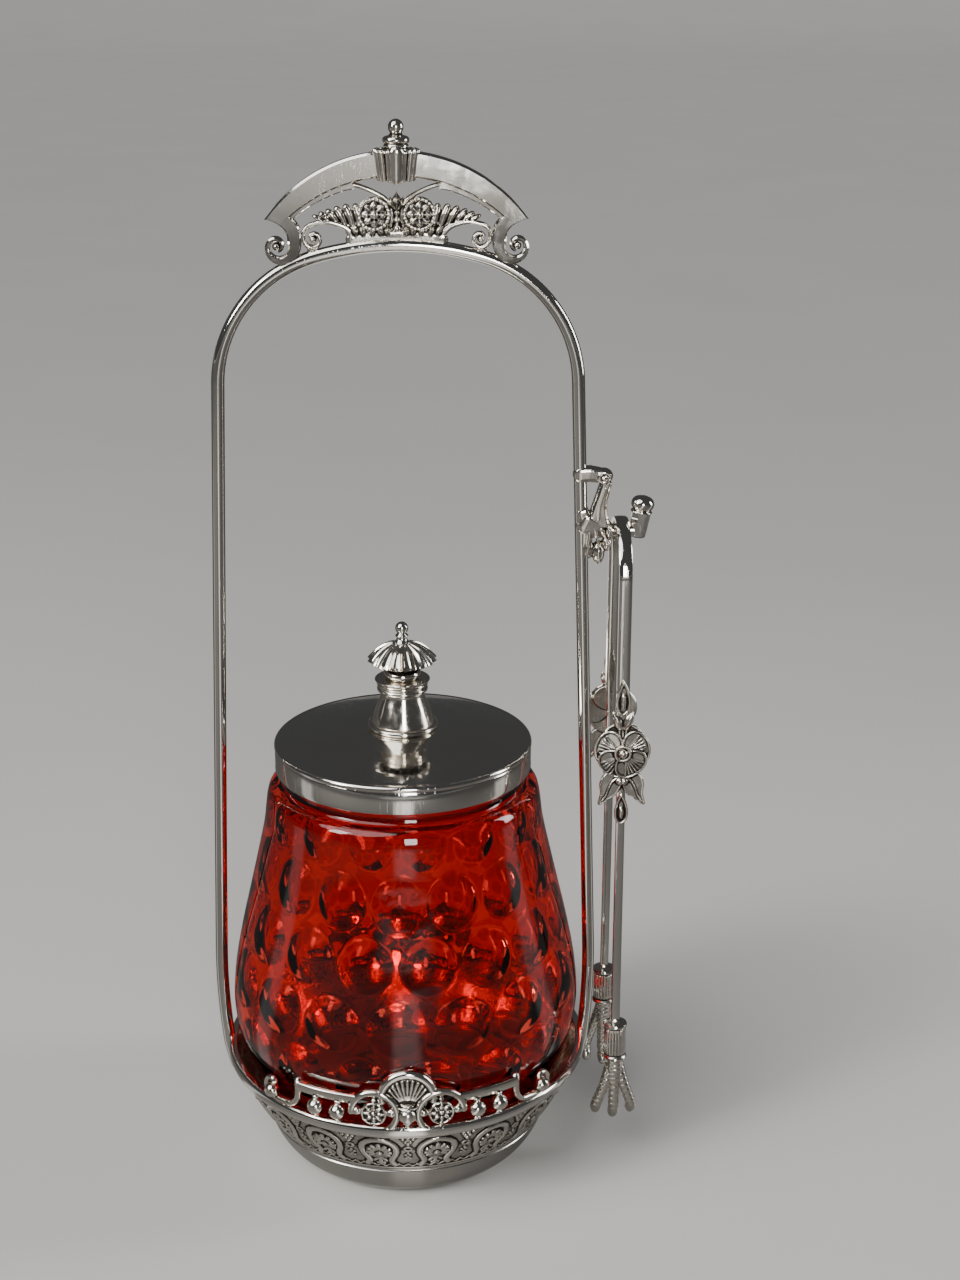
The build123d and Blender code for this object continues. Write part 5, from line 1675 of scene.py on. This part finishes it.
def pale_floor():
    """Pale paper, with no shine of its own."""
    material, graph, place = new_material("pale_floor")
    clouds = noise(graph, place, 5.0, 3.0)
    base = mixed(graph, clouds, colour(0.62, 0.61, 0.59), colour(0.67, 0.66, 0.64))
    inputs = {"Base Color": base, "Roughness": 0.7, "Specular IOR Level": 0.0}
    return closed_material(material, graph, inputs)


def dark_card():
    """Card that is pale near the object and dark further out, with four strips of light."""
    material, graph, place = new_material("dark_card")

    def vector(operation, inputs, output=0):
        return graph.node("ShaderNodeVectorMath", {"operation": operation}, inputs, output)

    def along(way):
        unit = vector("NORMALIZE", {0: place})
        return vector("DOT_PRODUCT", {0: unit, 1: way}, 1).math("ABSOLUTE")

    def strip(way, wide, narrow):
        """1 within so many degrees of a direction, and 0 outside the wider angle."""
        return way.between(cos(radians(wide)), cos(radians(narrow)))

    away = vector("LENGTH", {0: place}, 1)
    dark, pale = colour(0.10, 0.097, 0.093), colour(0.5, 0.49, 0.48)
    base = mixed(graph, away.between(-0.12, 0.18), pale, dark)
    ahead, beside = along((0.0, 1.0, 0.0)), along((1.0, 0.0, 0.0))
    near = strip(ahead, 10, 3) * 0.8 + strip(beside, 8, 3) * 0.35
    far = strip(ahead, 24, 8) * 0.5 * away.between(1.8, 2.8) * (1 - away.between(3.2, 4.6))
    shine = near * away.between(0.03, 0.08) * (1 - away.between(0.7, 1.3)) + far
    glow = mixed(graph, shine, colour(0, 0, 0), colour(1.0, 0.97, 0.93))
    return closed_material(material, graph, {
        "Base Color": base,
        "Roughness": 0.8,
        "Emission Color": glow,
        "Emission Strength": 1.2,
    })


def stage(name, mesh, finish, hidden=()):
    """A piece of the studio, hidden from some kinds of rays."""
    made = bpy.data.objects.new(name, mesh)
    bpy.context.scene.collection.objects.link(made)
    dress(made, finish)
    for sight in hidden:
        setattr(made, "visible_" + sight, False)


floor_mesh = bpy.data.meshes.new("pale_floor")
corners = ((-1, -1), (1, -1), (1, 1), (-1, 1))
corners = [(x * FLOOR_REACH, y * FLOOR_REACH, 0) for x, y in corners]
floor_mesh.from_pydata(corners, [], [(0, 1, 2, 3)])
paper = pale_floor()
stage("pale_floor", floor_mesh, paper)
lift, rise_from, rise_r = 0.4, 6500, 5500
rise = round_line(rise_from, lift + rise_r, rise_r, np.radians(np.linspace(-90, -8, 30)))
backdrop = write_mesh("rising_backdrop", turn(rise, 96, closed=False))
stage("rising_backdrop", backdrop, paper, NOT_CAMERA)
card_line = [(36, lift), (400, lift), (1500, lift), (12000, lift)]
card = write_mesh("dark_card", turn(card_line, 96, closed=False))
stage("dark_card", card, dark_card(), NOT_GLOSSY)
print("the floor reaches", FLOOR_REACH, "m and the card", card_line[-1][0] * MM, "m")

# %% [markdown]
# The soft lamps do the rest: a broad sun for the ground, one warm lamp from the left, one from
# the front and a narrow one from the right, whose light doesn't spread over the floor. A picture
# of a real studio round the scene would light it too, but its shapes would show in the silver.

# %% The lamps
SUN_SPREAD = 50
neutral, warm, cool = (1.0, 1.0, 1.0), (1.0, 0.965, 0.91), (0.96, 0.98, 1.0)


def soft_lamp(name, place, target, size, power, tint=neutral, spread=180):
    """A soft lamp turned towards a target: a rectangle, or without a size a broad sun."""
    data = bpy.data.lights.new(name, "AREA" if size else "SUN")
    data.energy, data.color = power, tint
    if size:
        data.shape = "RECTANGLE"
        data.size, data.size_y = size
        data.spread = radians(spread)
    else:
        data.angle = radians(SUN_SPREAD)
    lamp = bpy.data.objects.new(name, data)
    ahead = Vector(target) - Vector(place)
    lamp.rotation_euler = ahead.to_track_quat("-Z", "Y").to_euler()
    lamp.location = place
    lamp.visible_camera = False
    bpy.context.scene.collection.objects.link(lamp)


soft_lamp("sun", (-0.50, -0.35, 0.80), (0, 0, 0), None, 1.9)
soft_lamp("key", (-0.9, -0.55, 0.75), (0, 0, 0.12), (0.28, 0.5), 7.0, warm)
soft_lamp("front", (0.12, -1.25, 0.42), (0, 0, 0.14), (0.22, 0.5), 6.0)
soft_lamp("right", (1.0, 0.05, 0.41), (0, 0, 0.15), (0.2, 0.62), 0.85, cool, spread=75)
world = bpy.data.worlds.new("studio")
bpy.context.scene.world = world
world.use_nodes = True
sky = world.node_tree.nodes["Background"].inputs
sky["Color"].default_value, sky["Strength"].default_value = colour(0.80, 0.82, 0.85), 0.07

# %% [markdown]
# The camera stands where the photographer stood. That was worked out from the circles of the
# foot, the rim and the lid, which look like ovals in the photo: the flatter the oval, the lower
# the eye.

# %% The camera
camera_data = bpy.data.cameras.new("camera")
camera_data.lens = 56.25
camera_data.sensor_width = 36.0
camera = bpy.data.objects.new("camera", camera_data)
pitch, yaw, roll = 19.17, 2.34, -0.08
camera.rotation_euler = (radians(90 - pitch), radians(roll), radians(-yaw))
camera.location = (0.0, -0.5286, 0.3399)
bpy.context.scene.collection.objects.link(camera)
bpy.context.scene.camera = camera
